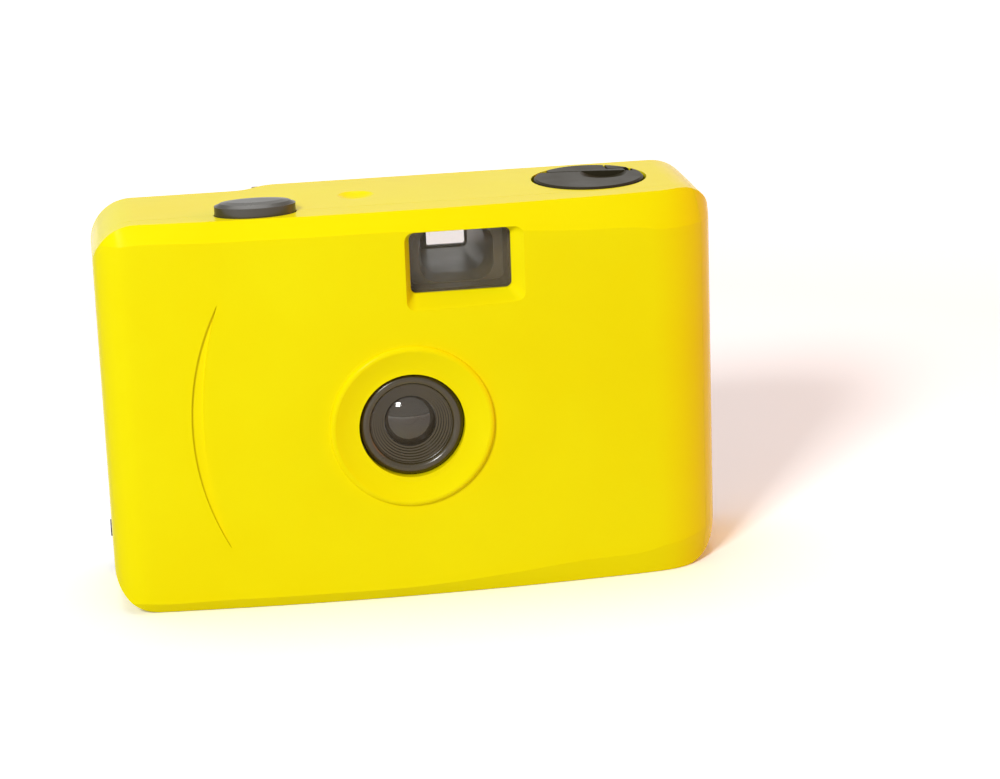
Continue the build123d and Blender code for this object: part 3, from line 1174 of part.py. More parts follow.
# Shutter blade: a thin disc on an arm, behind the shutter plate
with BuildPart() as shutter_blade:
    with BuildSketch(depth_plane(BLADE_DEPTH)):
        with BuildLine():
            Polyline(
                (BLADE_PIVOT_X - 0.6, BLADE_PIVOT_Z + 1.6),
                (LENS_X - 1.8, LENS_Z + 2.2),
                (LENS_X + 1.6, LENS_Z - 2.4),
                (BLADE_PIVOT_X + 0.8, BLADE_PIVOT_Z - 1.5),
                (BLADE_PIVOT_X - 4.3, BLADE_PIVOT_Z + 1.4),
                (BLADE_PIVOT_X - 3.8, BLADE_PIVOT_Z + 2.5),
                close=True,
            )
        make_face()
        with Locations((LENS_X, LENS_Z)):
            Circle(BLADE_DISC_RADIUS)
        with Locations((BLADE_PIVOT_X, BLADE_PIVOT_Z)):
            Circle(PIN_BOSS_RADIUS)
            Circle(PIN_RADIUS + JOURNAL_GAP, mode=Mode.SUBTRACT)
    extrude(amount=-BLADE_THICKNESS)
save(shutter_blade.part, "shutter_blade")

# Striker: the sprung lever that flicks the blade
with BuildPart() as striker_lever:
    with BuildSketch(depth_plane(STRIKER_DEPTH)):
        with BuildLine():
            Polyline(
                (STRIKER_PIVOT_X - 1.3, STRIKER_PIVOT_Z + 0.6),
                (STRIKER_PIVOT_X + 6.6, STRIKER_PIVOT_Z + 7.0),
                (STRIKER_PIVOT_X + 7.5, STRIKER_PIVOT_Z + 6.2),
                (STRIKER_PIVOT_X + 1.4, STRIKER_PIVOT_Z - 0.6),
                (STRIKER_PIVOT_X - 2.1, STRIKER_PIVOT_Z - 8.2),
                (STRIKER_PIVOT_X - 3.3, STRIKER_PIVOT_Z - 7.8),
                close=True,
            )
        make_face()
        with Locations((STRIKER_PIVOT_X, STRIKER_PIVOT_Z)):
            Circle(PIN_BOSS_RADIUS)
            Circle(PIN_RADIUS + JOURNAL_GAP, mode=Mode.SUBTRACT)
    extrude(amount=-STRIKER_THICKNESS)
save(striker_lever.part, "striker_lever")

# Release lever: a rocker under the button, with a hook over the striker
lever_top_z = LEVER_PIVOT_Z + LEVER_WIDTH / 2
with BuildPart() as release_lever:
    with BuildSketch(depth_plane(LEVER_DEPTH)):
        with Locations(((BUTTON_X - 1.0 + LEVER_END_X) / 2, LEVER_PIVOT_Z)):
            Rectangle(LEVER_END_X - BUTTON_X + 1.0, LEVER_WIDTH)
        with Locations((LEVER_PIVOT_X, LEVER_PIVOT_Z)):
            Circle(PIN_BOSS_RADIUS)
            Circle(PIN_RADIUS + JOURNAL_GAP, mode=Mode.SUBTRACT)
    extrude(amount=-LEVER_THICKNESS)
    block(
        LEVER_END_X - HOOK_WIDTH,
        LEVER_END_X,
        LEVER_DEPTH,
        STRIKER_DEPTH + STRIKER_THICKNESS,
        HOOK_Z,
        lever_top_z,
    )
save(release_lever.part, "release_lever")

with BuildPart() as pivot_pins:
    for pin_x, pin_z in PIVOTS:
        level(pin_x, pin_z, PIN_FRONT_DEPTH, PIN_END_DEPTH, PIN_RADIUS)
save(pivot_pins.part, "pivot_pins")

with BuildPart() as shutter_screws:
    for screw_x, screw_z in SHUTTER_SCREWS:
        head_back = SHUTTER_PLATE_DEPTH - 0.02
        level(screw_x, screw_z, head_back - SMALL_HEAD, head_back, SMALL_HEAD_RADIUS)
        level(screw_x, screw_z, head_back - 0.1, PIN_END_DEPTH - 0.2, SCREW_RADIUS)
save(shutter_screws.part, "shutter_screws")

# Torsion springs round the striker and blade pivots
with BuildPart() as striker_spring:
    striker_back = STRIKER_DEPTH + STRIKER_THICKNESS + 0.03
    level(STRIKER_PIVOT_X, STRIKER_PIVOT_Z, striker_back, BOARD_DEPTH - 0.02, SMALL_HEAD_RADIUS)
    level(STRIKER_PIVOT_X, STRIKER_PIVOT_Z, 0, 12, PIN_RADIUS + 0.05, Mode.SUBTRACT)
save(striker_spring.part, "striker_spring")

with BuildPart() as blade_spring:
    blade_back = BLADE_DEPTH + BLADE_THICKNESS + 0.03
    level(BLADE_PIVOT_X, BLADE_PIVOT_Z, blade_back, BOARD_DEPTH - 0.02, SMALL_HEAD_RADIUS)
    level(BLADE_PIVOT_X, BLADE_PIVOT_Z, 0, 12, PIN_RADIUS + 0.05, Mode.SUBTRACT)
save(blade_spring.part, "blade_spring")

# Shutter button: oval domed cap with a stem through the deck
with BuildPart() as shutter_button:
    with BuildSketch(floor_plane(BUTTON_X, BUTTON_DEPTH, HEIGHT - BUTTON_SKIRT)):
        Ellipse(BUTTON_LENGTH / 2, BUTTON_WIDTH / 2)
    extrude(amount=BUTTON_SKIRT + BUTTON_RISE)
    for low, high, low_in, high_in in (
        (0.0, 0.7 * BUTTON_DOME, 0.15, 0.9),
        (0.7 * BUTTON_DOME, BUTTON_DOME, 0.9, 2.2),
    ):
        for rise, shrink in ((low, low_in), (high, high_in)):
            with BuildSketch(floor_plane(BUTTON_X, BUTTON_DEPTH, HEIGHT + BUTTON_RISE + rise)):
                Ellipse(BUTTON_LENGTH / 2 - shrink, BUTTON_WIDTH / 2 - shrink)
        loft()
    upright(BUTTON_X, BUTTON_DEPTH, lever_top_z + 0.1, HEIGHT, STEM_TIP_RADIUS)
    upright(BUTTON_X, BUTTON_DEPTH, STEM_TIP_Z, HEIGHT, STEM_RADIUS)
    upright(BUTTON_X, BUTTON_DEPTH, BAY_TOP_Z - 1.0, BAY_TOP_Z - 0.1, STEM_RADIUS + COLLAR)
save(shutter_button.part, "shutter_button")

with BuildPart() as button_spring:
    add(
        tube(
            BUTTON_X,
            BUTTON_DEPTH,
            DECK_TOP_Z + 0.02,
            HEIGHT - BUTTON_SKIRT - 0.02,
            STEM_RADIUS + 0.25,
            STEM_RADIUS + 0.25 + SPRING_WIRE,
        )
    )
save(button_spring.part, "button_spring")

# Thumbwheel with its gear underneath
with BuildPart() as thumbwheel:
    upright(WHEEL_X, WHEEL_DEPTH, WHEEL_Z, WHEEL_TOP_Z, WHEEL_RADIUS)
    chamfer(thumbwheel.edges().group_by(Axis.Z)[0] + thumbwheel.edges().group_by(Axis.Z)[-1], 0.3)
    with BuildSketch(floor_plane(WHEEL_X, WHEEL_DEPTH, WHEEL_Z - 1)):
        with PolarLocations(WHEEL_RADIUS + 0.1, WHEEL_GRIPS):
            Circle(WHEEL_GRIP_RADIUS)
    extrude(amount=WHEEL_THICKNESS + 2, mode=Mode.SUBTRACT)
    upright(WHEEL_X, WHEEL_DEPTH, PAD_TOP_Z + 0.15, WHEEL_Z + 0.1, WHEEL_HUB_RADIUS)
    add(spur_gear(WHEEL_X, WHEEL_DEPTH, GEAR_Z, GEAR_THICKNESS, MESH_ANGLE + 180 + 180 / GEAR_TEETH))
    upright(WHEEL_X, WHEEL_DEPTH, WHEEL_TOP_Z - AXLE_HEAD - 0.2, HEIGHT, AXLE_HEAD_RADIUS + 0.3, Mode.SUBTRACT)
    upright(WHEEL_X, WHEEL_DEPTH, PAD_Z, HEIGHT, AXLE_RADIUS + JOURNAL_GAP, Mode.SUBTRACT)
save(thumbwheel.part, "thumbwheel")

with BuildPart() as thumbwheel_axle:
    upright(WHEEL_X, WHEEL_DEPTH, PAD_Z, WHEEL_TOP_Z - 0.1, AXLE_RADIUS)
    upright(WHEEL_X, WHEEL_DEPTH, WHEEL_TOP_Z - 0.1 - AXLE_HEAD, WHEEL_TOP_Z - 0.1, AXLE_HEAD_RADIUS)
save(thumbwheel_axle.part, "thumbwheel_axle")

# Take-up spool
with BuildPart() as takeup_spool:
    spool_low = BAY_FLOOR_Z + RUN_GAP
    spool_high = BAY_TOP_Z - RUN_GAP
    upright(SPOOL_X, SPOOL_DEPTH, spool_low, spool_high, SPOOL_RADIUS)
    with BuildSketch(floor_plane(SPOOL_X, SPOOL_DEPTH, BAY_FLOOR_Z + 4)):
        Rectangle(SPOOL_SLOT, 4 * SPOOL_RADIUS)
    extrude(amount=CASSETTE_HEIGHT - 8, mode=Mode.SUBTRACT)
    upright(SPOOL_X, SPOOL_DEPTH, spool_low, spool_low + 1, SPOOL_FLANGE_RADIUS)
    upright(SPOOL_X, SPOOL_DEPTH, spool_high - 1, spool_high, SPOOL_FLANGE_RADIUS)
    upright(SPOOL_X, SPOOL_DEPTH, FLOOR_Z + 0.1, BAY_FLOOR_Z + 1, SHAFT_LOW_RADIUS)
    upright(SPOOL_X, SPOOL_DEPTH, BAY_TOP_Z - 1, GEAR_Z, SHAFT_TOP_RADIUS)
    upright(SPOOL_X, SPOOL_DEPTH, GEAR_Z - 0.1, GEAR_Z + GEAR_THICKNESS, GEAR_SEAT_RADIUS)
save(takeup_spool.part, "takeup_spool")

with BuildPart() as spool_gear:
    add(spur_gear(SPOOL_X, SPOOL_DEPTH, GEAR_Z, GEAR_THICKNESS, MESH_ANGLE))
    upright(SPOOL_X, SPOOL_DEPTH, BAY_TOP_Z, HEIGHT, GEAR_SEAT_RADIUS, Mode.SUBTRACT)
save(spool_gear.part, "spool_gear")

# Sprocket wheel: two rows of teeth, the stop cam and the counter finger
with BuildPart() as sprocket_wheel:
    upright(SPROCKET_X, SPROCKET_DEPTH, BAY_FLOOR_Z + 0.4, BAY_TOP_Z - 0.4, SPROCKET_HUB_RADIUS)
    for row_z in (LENS_Z - PERFORATION_ROWS / 2, LENS_Z + PERFORATION_ROWS / 2):
        with BuildSketch(floor_plane(SPROCKET_X, SPROCKET_DEPTH, row_z - ROW_WIDTH / 2)):
            Circle(SPROCKET_RADIUS - 0.1)
        extrude(amount=ROW_WIDTH)
        with BuildSketch(floor_plane(SPROCKET_X, SPROCKET_DEPTH, row_z - TOOTH_WIDTH / 2)):
            with PolarLocations(SPROCKET_RADIUS - 0.4, SPROCKET_TEETH):
                Trapezoid(TOOTH_BASE, TOOTH_HEIGHT + 0.4, 70, rotation=-90, align=(Align.CENTER, Align.MIN))
        extrude(amount=TOOTH_WIDTH)
    upright(SPROCKET_X, SPROCKET_DEPTH, FLOOR_Z + 0.1, BAY_FLOOR_Z + 1, SHAFT_LOW_RADIUS)
    upright(SPROCKET_X, SPROCKET_DEPTH, BAY_TOP_Z - 1, CAM_Z + 0.1, SHAFT_TOP_RADIUS)
    with BuildSketch(floor_plane(SPROCKET_X, SPROCKET_DEPTH, CAM_Z)):
        Circle(CAM_RADIUS)
        with Locations((0, -CAM_RADIUS)):
            Rectangle(CAM_NOTCH, 2.0, mode=Mode.SUBTRACT)
    extrude(amount=CAM_THICKNESS)
    upright(SPROCKET_X, SPROCKET_DEPTH, CAM_Z, DIAL_TOP_Z, FINGER_SHAFT_RADIUS)
    with BuildSketch(floor_plane(SPROCKET_X, SPROCKET_DEPTH, DIAL_Z)):
        with Locations(((FINGER_REACH - 0.1) / 2, 0)):
            Rectangle(FINGER_REACH - 0.1, FINGER_WIDTH)
    extrude(amount=DIAL_THICKNESS)
save(sprocket_wheel.part, "sprocket_wheel")

# Stop lever whose nose rests just outside the cam
with BuildPart() as stop_lever:
    nose_x = SPROCKET_X - STOP_PIVOT_X
    nose_y = SPROCKET_DEPTH - CAM_RADIUS - 0.2 - STOP_PIVOT_DEPTH
    with BuildSketch(floor_plane(STOP_PIVOT_X, STOP_PIVOT_DEPTH, CAM_Z + 0.1)):
        with BuildLine():
            Polyline(
                (0, -0.9),
                (nose_x - 0.8, -0.4),
                (nose_x - 0.4, nose_y),
                (nose_x + 0.3, nose_y),
                (nose_x + 0.8, 0.8),
                (0, 1.1),
                close=True,
            )
        make_face()
        Circle(STOP_BOSS_RADIUS)
        Circle(PIN_RADIUS + JOURNAL_GAP, mode=Mode.SUBTRACT)
    extrude(amount=CAM_THICKNESS - 0.2)
save(stop_lever.part, "stop_lever")

# Frame counter dial
with BuildPart() as counter_dial:
    with BuildSketch(floor_plane(DIAL_X, DIAL_DEPTH, DIAL_Z)):
        Circle(DIAL_RADIUS)
        with PolarLocations(DIAL_RADIUS, DIAL_TEETH, start_angle=DIAL_DIRECTION + 180):
            Rectangle(0.7, 0.6, mode=Mode.SUBTRACT)
        Circle(DIAL_POST_RADIUS + JOURNAL_GAP, mode=Mode.SUBTRACT)
    extrude(amount=DIAL_THICKNESS)
save(counter_dial.part, "counter_dial")

# Space for the crank in the knob, with a stepped rest at its free end and a full rim round its hinge
with BuildPart() as crank_seat:
    seat_low_z = CRANK_LOW_Z - 0.1
    hinge_side_x = CASSETTE_X + CRANK_HINGE_X - CRANK_SHOULDER + CRANK_GAP
    free_end_x = CASSETTE_X - KNOB_RADIUS + CRANK_NOTCH - CRANK_GAP
    hinge_back = CASSETTE_DEPTH + CRANK_HINGE_REACH + CRANK_GAP
    add(behind_crank_line(0.0, seat_low_z, 5))
    block(hinge_side_x, WIDTH, hinge_back, DEPTH, seat_low_z, HEIGHT + 9, Mode.SUBTRACT)
    block(CASSETTE_X + KNOB_RIM_X, WIDTH, 0, DEPTH, seat_low_z, HEIGHT + 9, Mode.SUBTRACT)
    block(0, free_end_x, 0, DEPTH, seat_low_z, KNOB_TOP_Z - NOTCH_STEP, Mode.SUBTRACT)

# Rewind knob with shaft and fork; its top is cut down for the crank and scooped out in front of it
with BuildPart() as rewind_knob:
    upright(CASSETTE_X, CASSETTE_DEPTH, KNOB_BOTTOM_Z, KNOB_TOP_Z, KNOB_RADIUS)
    chamfer(rewind_knob.edges().group_by(Axis.Z)[-1], KNOB_CHAMFER)
    add(crank_seat.part, mode=Mode.SUBTRACT)
    with Locations(at(CASSETTE_X + SCOOP_X, CASSETTE_DEPTH + SCOOP_Y, KNOB_TOP_Z - SCOOP_DEPTH)):
        Sphere(
            (SCOOP_RADIUS ** 2 + SCOOP_DEPTH ** 2) / (2 * SCOOP_DEPTH),
            align=(Align.CENTER, Align.CENTER, Align.MIN),
            mode=Mode.SUBTRACT,
        )
    upright(CASSETTE_X, CASSETTE_DEPTH, BAY_TOP_Z - 0.5, KNOB_BOTTOM_Z + 0.1, REWIND_SHAFT_RADIUS)
    block(
        CASSETTE_X - REWIND_SHAFT_RADIUS,
        CASSETTE_X + REWIND_SHAFT_RADIUS,
        CASSETTE_DEPTH - FORK_THICKNESS / 2,
        CASSETTE_DEPTH + FORK_THICKNESS / 2,
        BAY_TOP_Z - FORK_REACH,
        BAY_TOP_Z,
    )
    block(
        CASSETTE_X - FORK_SLOT / 2,
        CASSETTE_X + FORK_SLOT / 2,
        CASSETTE_DEPTH - 3,
        CASSETTE_DEPTH + 3,
        BAY_TOP_Z - FORK_REACH - 1,
        BAY_TOP_Z - 0.6,
        Mode.SUBTRACT,
    )
    add(
        tube(
            CASSETTE_X,
            CASSETTE_DEPTH,
            CLIP_Z - 0.05,
            CLIP_Z + CLIP_THICKNESS + 0.05,
            REWIND_SHAFT_RADIUS - CLIP_GROOVE,
            CLIP_OUTER_RADIUS + 1,
        ),
        mode=Mode.SUBTRACT,
    )
    pin_start = CASSETTE_DEPTH + CRANK_CURVE - 4.6
    pin_end = hinge_back + 1.0
    level(
        CASSETTE_X + CRANK_HINGE_X,
        CRANK_HINGE_Z,
        pin_start,
        pin_end,
        CRANK_PIN_RADIUS,
        Mode.SUBTRACT,
    )
save(rewind_knob.part, "rewind_knob")

# Fold-out crank: a crescent that lies flush in the knob
with BuildPart() as rewind_crank:
    upright(CASSETTE_X, CASSETTE_DEPTH, CRANK_LOW_Z, KNOB_TOP_Z, KNOB_RADIUS - 0.1)
    chamfer(rewind_crank.edges().group_by(Axis.Z)[-1], KNOB_CHAMFER)
    add(behind_crank_line(CRANK_GAP, CRANK_LOW_Z - 1, 5), mode=Mode.INTERSECT)
    block(
        CASSETTE_X + CRANK_HINGE_X,
        CASSETTE_X + KNOB_RADIUS + 1,
        0,
        DEPTH,
        CRANK_LOW_Z - 1,
        KNOB_TOP_Z + 1,
        Mode.SUBTRACT,
    )
    block(
        CASSETTE_X + CRANK_HINGE_X - CRANK_SHOULDER,
        CASSETTE_X + CRANK_HINGE_X + 1,
        CASSETTE_DEPTH + CRANK_HINGE_REACH,
        DEPTH,
        CRANK_LOW_Z - 1,
        KNOB_TOP_Z + 1,
        Mode.SUBTRACT,
    )
    block(
        CASSETTE_X - KNOB_RADIUS - 1,
        CASSETTE_X - KNOB_RADIUS + CRANK_NOTCH,
        0,
        DEPTH,
        CRANK_LOW_Z - 1,
        KNOB_TOP_Z + 1,
        Mode.SUBTRACT,
    )
    level(
        CASSETTE_X + CRANK_HINGE_X,
        CRANK_HINGE_Z,
        CASSETTE_DEPTH + CRANK_CURVE + 0.2,
        CASSETTE_DEPTH + CRANK_HINGE_REACH,
        CRANK_THICKNESS / 2,
    )
    level(
        CASSETTE_X + CRANK_HINGE_X,
        CRANK_HINGE_Z,
        0,
        DEPTH,
        CRANK_PIN_RADIUS + 0.05,
        Mode.SUBTRACT,
    )
save(rewind_crank.part, "rewind_crank")

with BuildPart() as crank_pin:
    level(
        CASSETTE_X + CRANK_HINGE_X,
        CRANK_HINGE_Z,
        pin_start + 0.1,
        pin_end,
        CRANK_PIN_RADIUS,
    )
save(crank_pin.part, "crank_pin")

# Open clip in the shaft groove that holds the knob up or down
with BuildPart() as rewind_clip:
    add(
        tube(
            CASSETTE_X,
            CASSETTE_DEPTH,
            CLIP_Z,
            CLIP_Z + CLIP_THICKNESS,
            REWIND_SHAFT_RADIUS - CLIP_GROOVE + JOURNAL_GAP,
            CLIP_OUTER_RADIUS,
        )
    )
    block(
        CASSETTE_X,
        CASSETTE_X + 6,
        CASSETTE_DEPTH - 1.2,
        CASSETTE_DEPTH + 1.2,
        CLIP_Z - 1,
        CLIP_Z + 2,
        Mode.SUBTRACT,
    )
save(rewind_clip.part, "rewind_clip")

# Rewind release: a small push button in the base, below the sprocket
release_top_z = FLOOR_Z + 0.1 - RELEASE_TRAVEL - 0.15
flange_low_z = WALL + 0.05
with BuildPart() as rewind_release:
    upright(SPROCKET_X, SPROCKET_DEPTH, 0.25, flange_low_z + 0.1, RELEASE_RADIUS)
    upright(SPROCKET_X, SPROCKET_DEPTH, flange_low_z, flange_low_z + 0.6, RELEASE_FLANGE_RADIUS)
    upright(SPROCKET_X, SPROCKET_DEPTH, flange_low_z, release_top_z, GEAR_SEAT_RADIUS)
save(rewind_release.part, "rewind_release")

with BuildPart() as release_spring:
    add(
        tube(
            SPROCKET_X,
            SPROCKET_DEPTH,
            flange_low_z + 0.62,
            FLOOR_Z - 0.02,
            GEAR_SEAT_RADIUS + 0.4,
            GEAR_SEAT_RADIUS + 0.4 + SPRING_WIRE,
        )
    )
save(release_spring.part, "release_spring")

# Viewfinder tunnel, tapering from the window to the eyepiece, with a round-cornered mask inside
with BuildPart() as viewfinder_tunnel:
    for wall, mode in ((TUNNEL_WALL, Mode.ADD), (0.0, Mode.SUBTRACT)):
        overrun = 0.0 if wall else 0.02
        with BuildSketch(depth_plane(TUNNEL_DEPTH - overrun)):
            with Locations((FINDER_X, FINDER_Z)):
                RectangleRounded(
                    WINDOW_WIDTH - 0.4 + 2 * wall,
                    WINDOW_HEIGHT - 0.4 + 2 * wall,
                    WINDOW_CORNER,
                )
        with BuildSketch(depth_plane(TUNNEL_END_DEPTH + overrun)):
            with Locations((FINDER_X, FINDER_Z)):
                RectangleRounded(
                    TUNNEL_END_WIDTH + 2 * wall,
                    TUNNEL_END_HEIGHT + 2 * wall,
                    WINDOW_CORNER,
                )
        loft(mode=mode)
    mask_back = MASK_DEPTH + MASK_THICKNESS
    block(
        FINDER_X - WINDOW_WIDTH / 2 + 0.5,
        FINDER_X + WINDOW_WIDTH / 2 - 0.5,
        MASK_DEPTH,
        mask_back,
        WINDOW_LOW - 0.1,
        WINDOW_HIGH + 0.1,
    )
    for mask_depth, flare in ((MASK_DEPTH, MASK_FLARE), (mask_back, 0.0)):
        with BuildSketch(depth_plane(mask_depth)):
            with Locations((FINDER_X, FINDER_Z)):
                RectangleRounded(MASK_WIDTH + flare, MASK_HEIGHT + 0.4 * flare, MASK_CORNER)
    loft(mode=Mode.SUBTRACT)
save(viewfinder_tunnel.part, "viewfinder_tunnel")

# Viewfinder front lens: a pane with a shallow round hollow in its front
with BuildPart() as viewfinder_front_lens:
    with BuildSketch(depth_plane(FINDER_GLASS_DEPTH + 0.02)):
        with Locations((FINDER_X, FINDER_Z)):
            Rectangle(
                WINDOW_WIDTH + 2 * WINDOW_REBATE - 0.1,
                WINDOW_HEIGHT + 2 * WINDOW_REBATE - 0.1,
            )
    extrude(amount=-FINDER_GLASS)
    finder_curve = (FINDER_DISH_RADIUS ** 2 + FINDER_DISH_DEPTH ** 2) / (2 * FINDER_DISH_DEPTH)
    dish_depth = FINDER_GLASS_DEPTH + 0.02 + FINDER_DISH_DEPTH - finder_curve
    with Locations(at(FINDER_X + FINDER_DISH_X, dish_depth, FINDER_Z + FINDER_DISH_Z)):
        Sphere(finder_curve, mode=Mode.SUBTRACT)
save(viewfinder_front_lens.part, "viewfinder_front_lens")

with BuildPart() as eyepiece_lens:
    with BuildSketch(depth_plane(EYEPIECE_DEPTH + 0.02)):
        with Locations((EYEPIECE_X, EYEPIECE_Z)):
            RectangleRounded(EYEPIECE_WIDTH + 1.1, EYEPIECE_HEIGHT + 0.9, EYEPIECE_CORNER + 0.15)
    extrude(amount=-EYEPIECE_LENS)
save(eyepiece_lens.part, "eyepiece_lens")

with BuildPart() as case_screws:
    for screw_x, screw_depth in CASE_SCREWS:
        upright(screw_x, screw_depth, 0.28, 0.28 + SCREW_HEAD, SCREW_HEAD_RADIUS)
        upright(screw_x, screw_depth, 1.0, BAY_FLOOR_Z - 0.4, SCREW_RADIUS)
    for screw_x, screw_depth in CASE_SCREWS:
        block(screw_x - 1.3, screw_x + 1.3, screw_depth - 0.2, screw_depth + 0.2, 0, 0.6, Mode.SUBTRACT)
save(case_screws.part, "case_screws")

with BuildPart() as rear_screws:
    for screw_x in REAR_SCREWS:
        head_front = DEPTH - 1.38
        level(screw_x, REAR_SCREW_Z, head_front, head_front + SCREW_HEAD, SCREW_HEAD_RADIUS)
        level(screw_x, REAR_SCREW_Z, FILM_DEPTH - 2.5, head_front + 0.1, SCREW_RADIUS)
        block(
            screw_x - 1.3,
            screw_x + 1.3,
            head_front + SCREW_HEAD - 0.35,
            head_front + SCREW_HEAD + 1,
            REAR_SCREW_Z - 0.2,
            REAR_SCREW_Z + 0.2,
            Mode.SUBTRACT,
        )
save(rear_screws.part, "rear_screws")

print(f"thumbwheel axis {at(WHEEL_X, WHEEL_DEPTH)}, spool axis {at(SPOOL_X, SPOOL_DEPTH)}")
print(f"sprocket axis {at(SPROCKET_X, SPROCKET_DEPTH)}, dial axis {at(DIAL_X, DIAL_DEPTH)}")
print(f"hinge axis {at(HINGE_X, HINGE_DEPTH)}, knob axis {at(CASSETTE_X, CASSETTE_DEPTH)}")
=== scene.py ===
from math import cos, pi, radians, sin

import bpy
from mathutils import Matrix, Vector


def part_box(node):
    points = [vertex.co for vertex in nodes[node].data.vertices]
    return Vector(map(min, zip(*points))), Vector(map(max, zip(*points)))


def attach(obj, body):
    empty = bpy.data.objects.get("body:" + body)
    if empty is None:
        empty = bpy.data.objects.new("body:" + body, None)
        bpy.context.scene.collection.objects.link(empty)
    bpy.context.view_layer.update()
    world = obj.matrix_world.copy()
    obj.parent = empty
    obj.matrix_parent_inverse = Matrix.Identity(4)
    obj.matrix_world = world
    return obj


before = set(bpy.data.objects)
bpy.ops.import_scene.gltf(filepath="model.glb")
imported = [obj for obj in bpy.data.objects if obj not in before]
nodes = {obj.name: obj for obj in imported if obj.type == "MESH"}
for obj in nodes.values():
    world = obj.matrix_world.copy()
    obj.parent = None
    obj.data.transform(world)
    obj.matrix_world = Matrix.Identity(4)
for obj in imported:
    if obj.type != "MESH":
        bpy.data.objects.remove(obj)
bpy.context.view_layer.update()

# Camera: azimuth 0 looks along +Y, from the front; lengths in metres
CAMERA_AZIMUTH = -6.16
CAMERA_ELEVATION = 15.77
CAMERA_ROLL = -2.05
CAMERA_DISTANCE = 0.5029
CAMERA_CENTRE = Vector((0, 0, 0.0325))
CAMERA_AIM = Vector((0.01535, 0, 0.0298))
CAMERA_LENS = 108.0
SENSOR = 36.0

# Colours, linear
YELLOW = (0.95, 0.84, 0.002, 1)
YELLOW_DEEP = (0.94, 0.80, 0.001, 1)
BLACK_BROWN = (0.024, 0.020, 0.010, 1)
BLACK_BROWN_LIGHT = (0.038, 0.032, 0.018, 1)
TUNNEL_BROWN = (0.075, 0.055, 0.020, 1)
TUNNEL_BROWN_LIGHT = (0.110, 0.082, 0.032, 1)
BEZEL_BROWN = (0.042, 0.030, 0.008, 1)
BEZEL_BROWN_LIGHT = (0.060, 0.044, 0.014, 1)
INNER_BLACK = (0.018, 0.017, 0.016, 1)
INNER_BLACK_LIGHT = (0.03, 0.029, 0.027, 1)
DIAL_WHITE = (0.75, 0.74, 0.70, 1)
DIAL_WHITE_DEEP = (0.66, 0.65, 0.61, 1)
STEEL = (0.55, 0.55, 0.56, 1)
STEEL_DARK = (0.42, 0.42, 0.43, 1)
FOAM = (0.012, 0.012, 0.012, 1)
FOAM_LIGHT = (0.03, 0.03, 0.03, 1)
WHITE = (1, 1, 1)

# Moulded plastics: name, colour, deeper colour, roughness, grain in cycles per metre, coat, shine, nodes
MOULDED = (
    ("yellow_shell", YELLOW, YELLOW_DEEP, 0.18, 900, 0.0, 0.04, ("front_cover", "body_shell")),
    ("brown_black_satin", BLACK_BROWN_LIGHT, BLACK_BROWN, 0.42, 1400, 0.0, 0.5, ("rear_top_cover", "back_door")),
    (
        "brown_black_gloss", BLACK_BROWN_LIGHT, BLACK_BROWN, 0.30, 1100, 0.15, 0.5,
        ("shutter_button", "thumbwheel", "door_latch", "rewind_release", "strap_lug"),
    ),
    ("knob_brown_black", BLACK_BROWN_LIGHT, BLACK_BROWN, 0.34, 1100, 0.0, 0.05, ("rewind_knob", "rewind_crank")),
    ("bezel_brown", BEZEL_BROWN_LIGHT, BEZEL_BROWN, 0.24, 1500, 0.15, 0.5, ("lens_bezel", "lens_retainer")),
    (
        "black_sheet", INNER_BLACK_LIGHT, INNER_BLACK, 0.55, 2500, 0.0, 0.5,
        ("aperture_plate", "shutter_plate", "shutter_blade"),
    ),
    (
        "inner_black", INNER_BLACK_LIGHT, INNER_BLACK, 0.5, 1800, 0.0, 0.5,
        ("chassis", "takeup_spool", "spool_gear", "sprocket_wheel"),
    ),
    ("tunnel_brown", TUNNEL_BROWN_LIGHT, TUNNEL_BROWN, 0.35, 1500, 0.0, 0.5, ("viewfinder_tunnel",)),
    ("dial_white", DIAL_WHITE, DIAL_WHITE_DEEP, 0.4, 1500, 0.0, 0.5, ("counter_dial",)),
)

# Clear plastics: name, colour, cover, roughness, nodes
CLEAR = (
    ("lens_glass", (0.085, 0.068, 0.045, 1), 0.6, 0.02, ("taking_lens",)),
    ("finder_pane", (0.30, 0.27, 0.20, 1), 0.08, 0.02, ("viewfinder_front_lens", "eyepiece_lens")),
)

# Frame counter figures: count, and their size and place as shares of the dial radius
FIGURE_COUNT = 12
FIGURE_SIZE = 0.34
FIGURE_PLACE = 0.72
FIGURE_RELIEF = 0.00001
FIGURE_LIFT = 0.00002

# Floor: its colour for light, and as the eye sees it near the object and far off
FLOOR_SIZE = 6.0
FLOOR_DROP = 0.0001
FLOOR_WHITE = 0.62
FLOOR_ROUGHNESS = 0.9
FLOOR_SEEN_NEAR = 1.3
FLOOR_SEEN_FAR = 2.6
FLOOR_NEAR = 0.2
FLOOR_FAR = 0.7

# Light: strength of the surroundings, then name, place, target, size, power and colour of each lamp
AMBIENT = 0.23
MIDDLE = (0, 0, 0.03)
LAMPS = (
    ("key", (-0.47, -0.80, 0.62), MIDDLE, 0.22, 7.9, WHITE),
    ("top", (-0.05, 0.15, 0.9), MIDDLE, 0.5, 2.5, WHITE),
    ("warm_side", (0.75, -0.05, 0.25), (0.03, 0, 0.03), 0.35, 2.3, (1.0, 0.25, 0.02)),
)


def new_material(name):
    """A material with its node tree, its Principled shader and its texture coordinates."""
    material = bpy.data.materials.new(name)
    material.use_nodes = True
    tree = material.node_tree
    shader = tree.nodes["Principled BSDF"]
    coordinates = tree.nodes.new("ShaderNodeTexCoord")
    return material, tree, shader, coordinates.outputs["Object"]


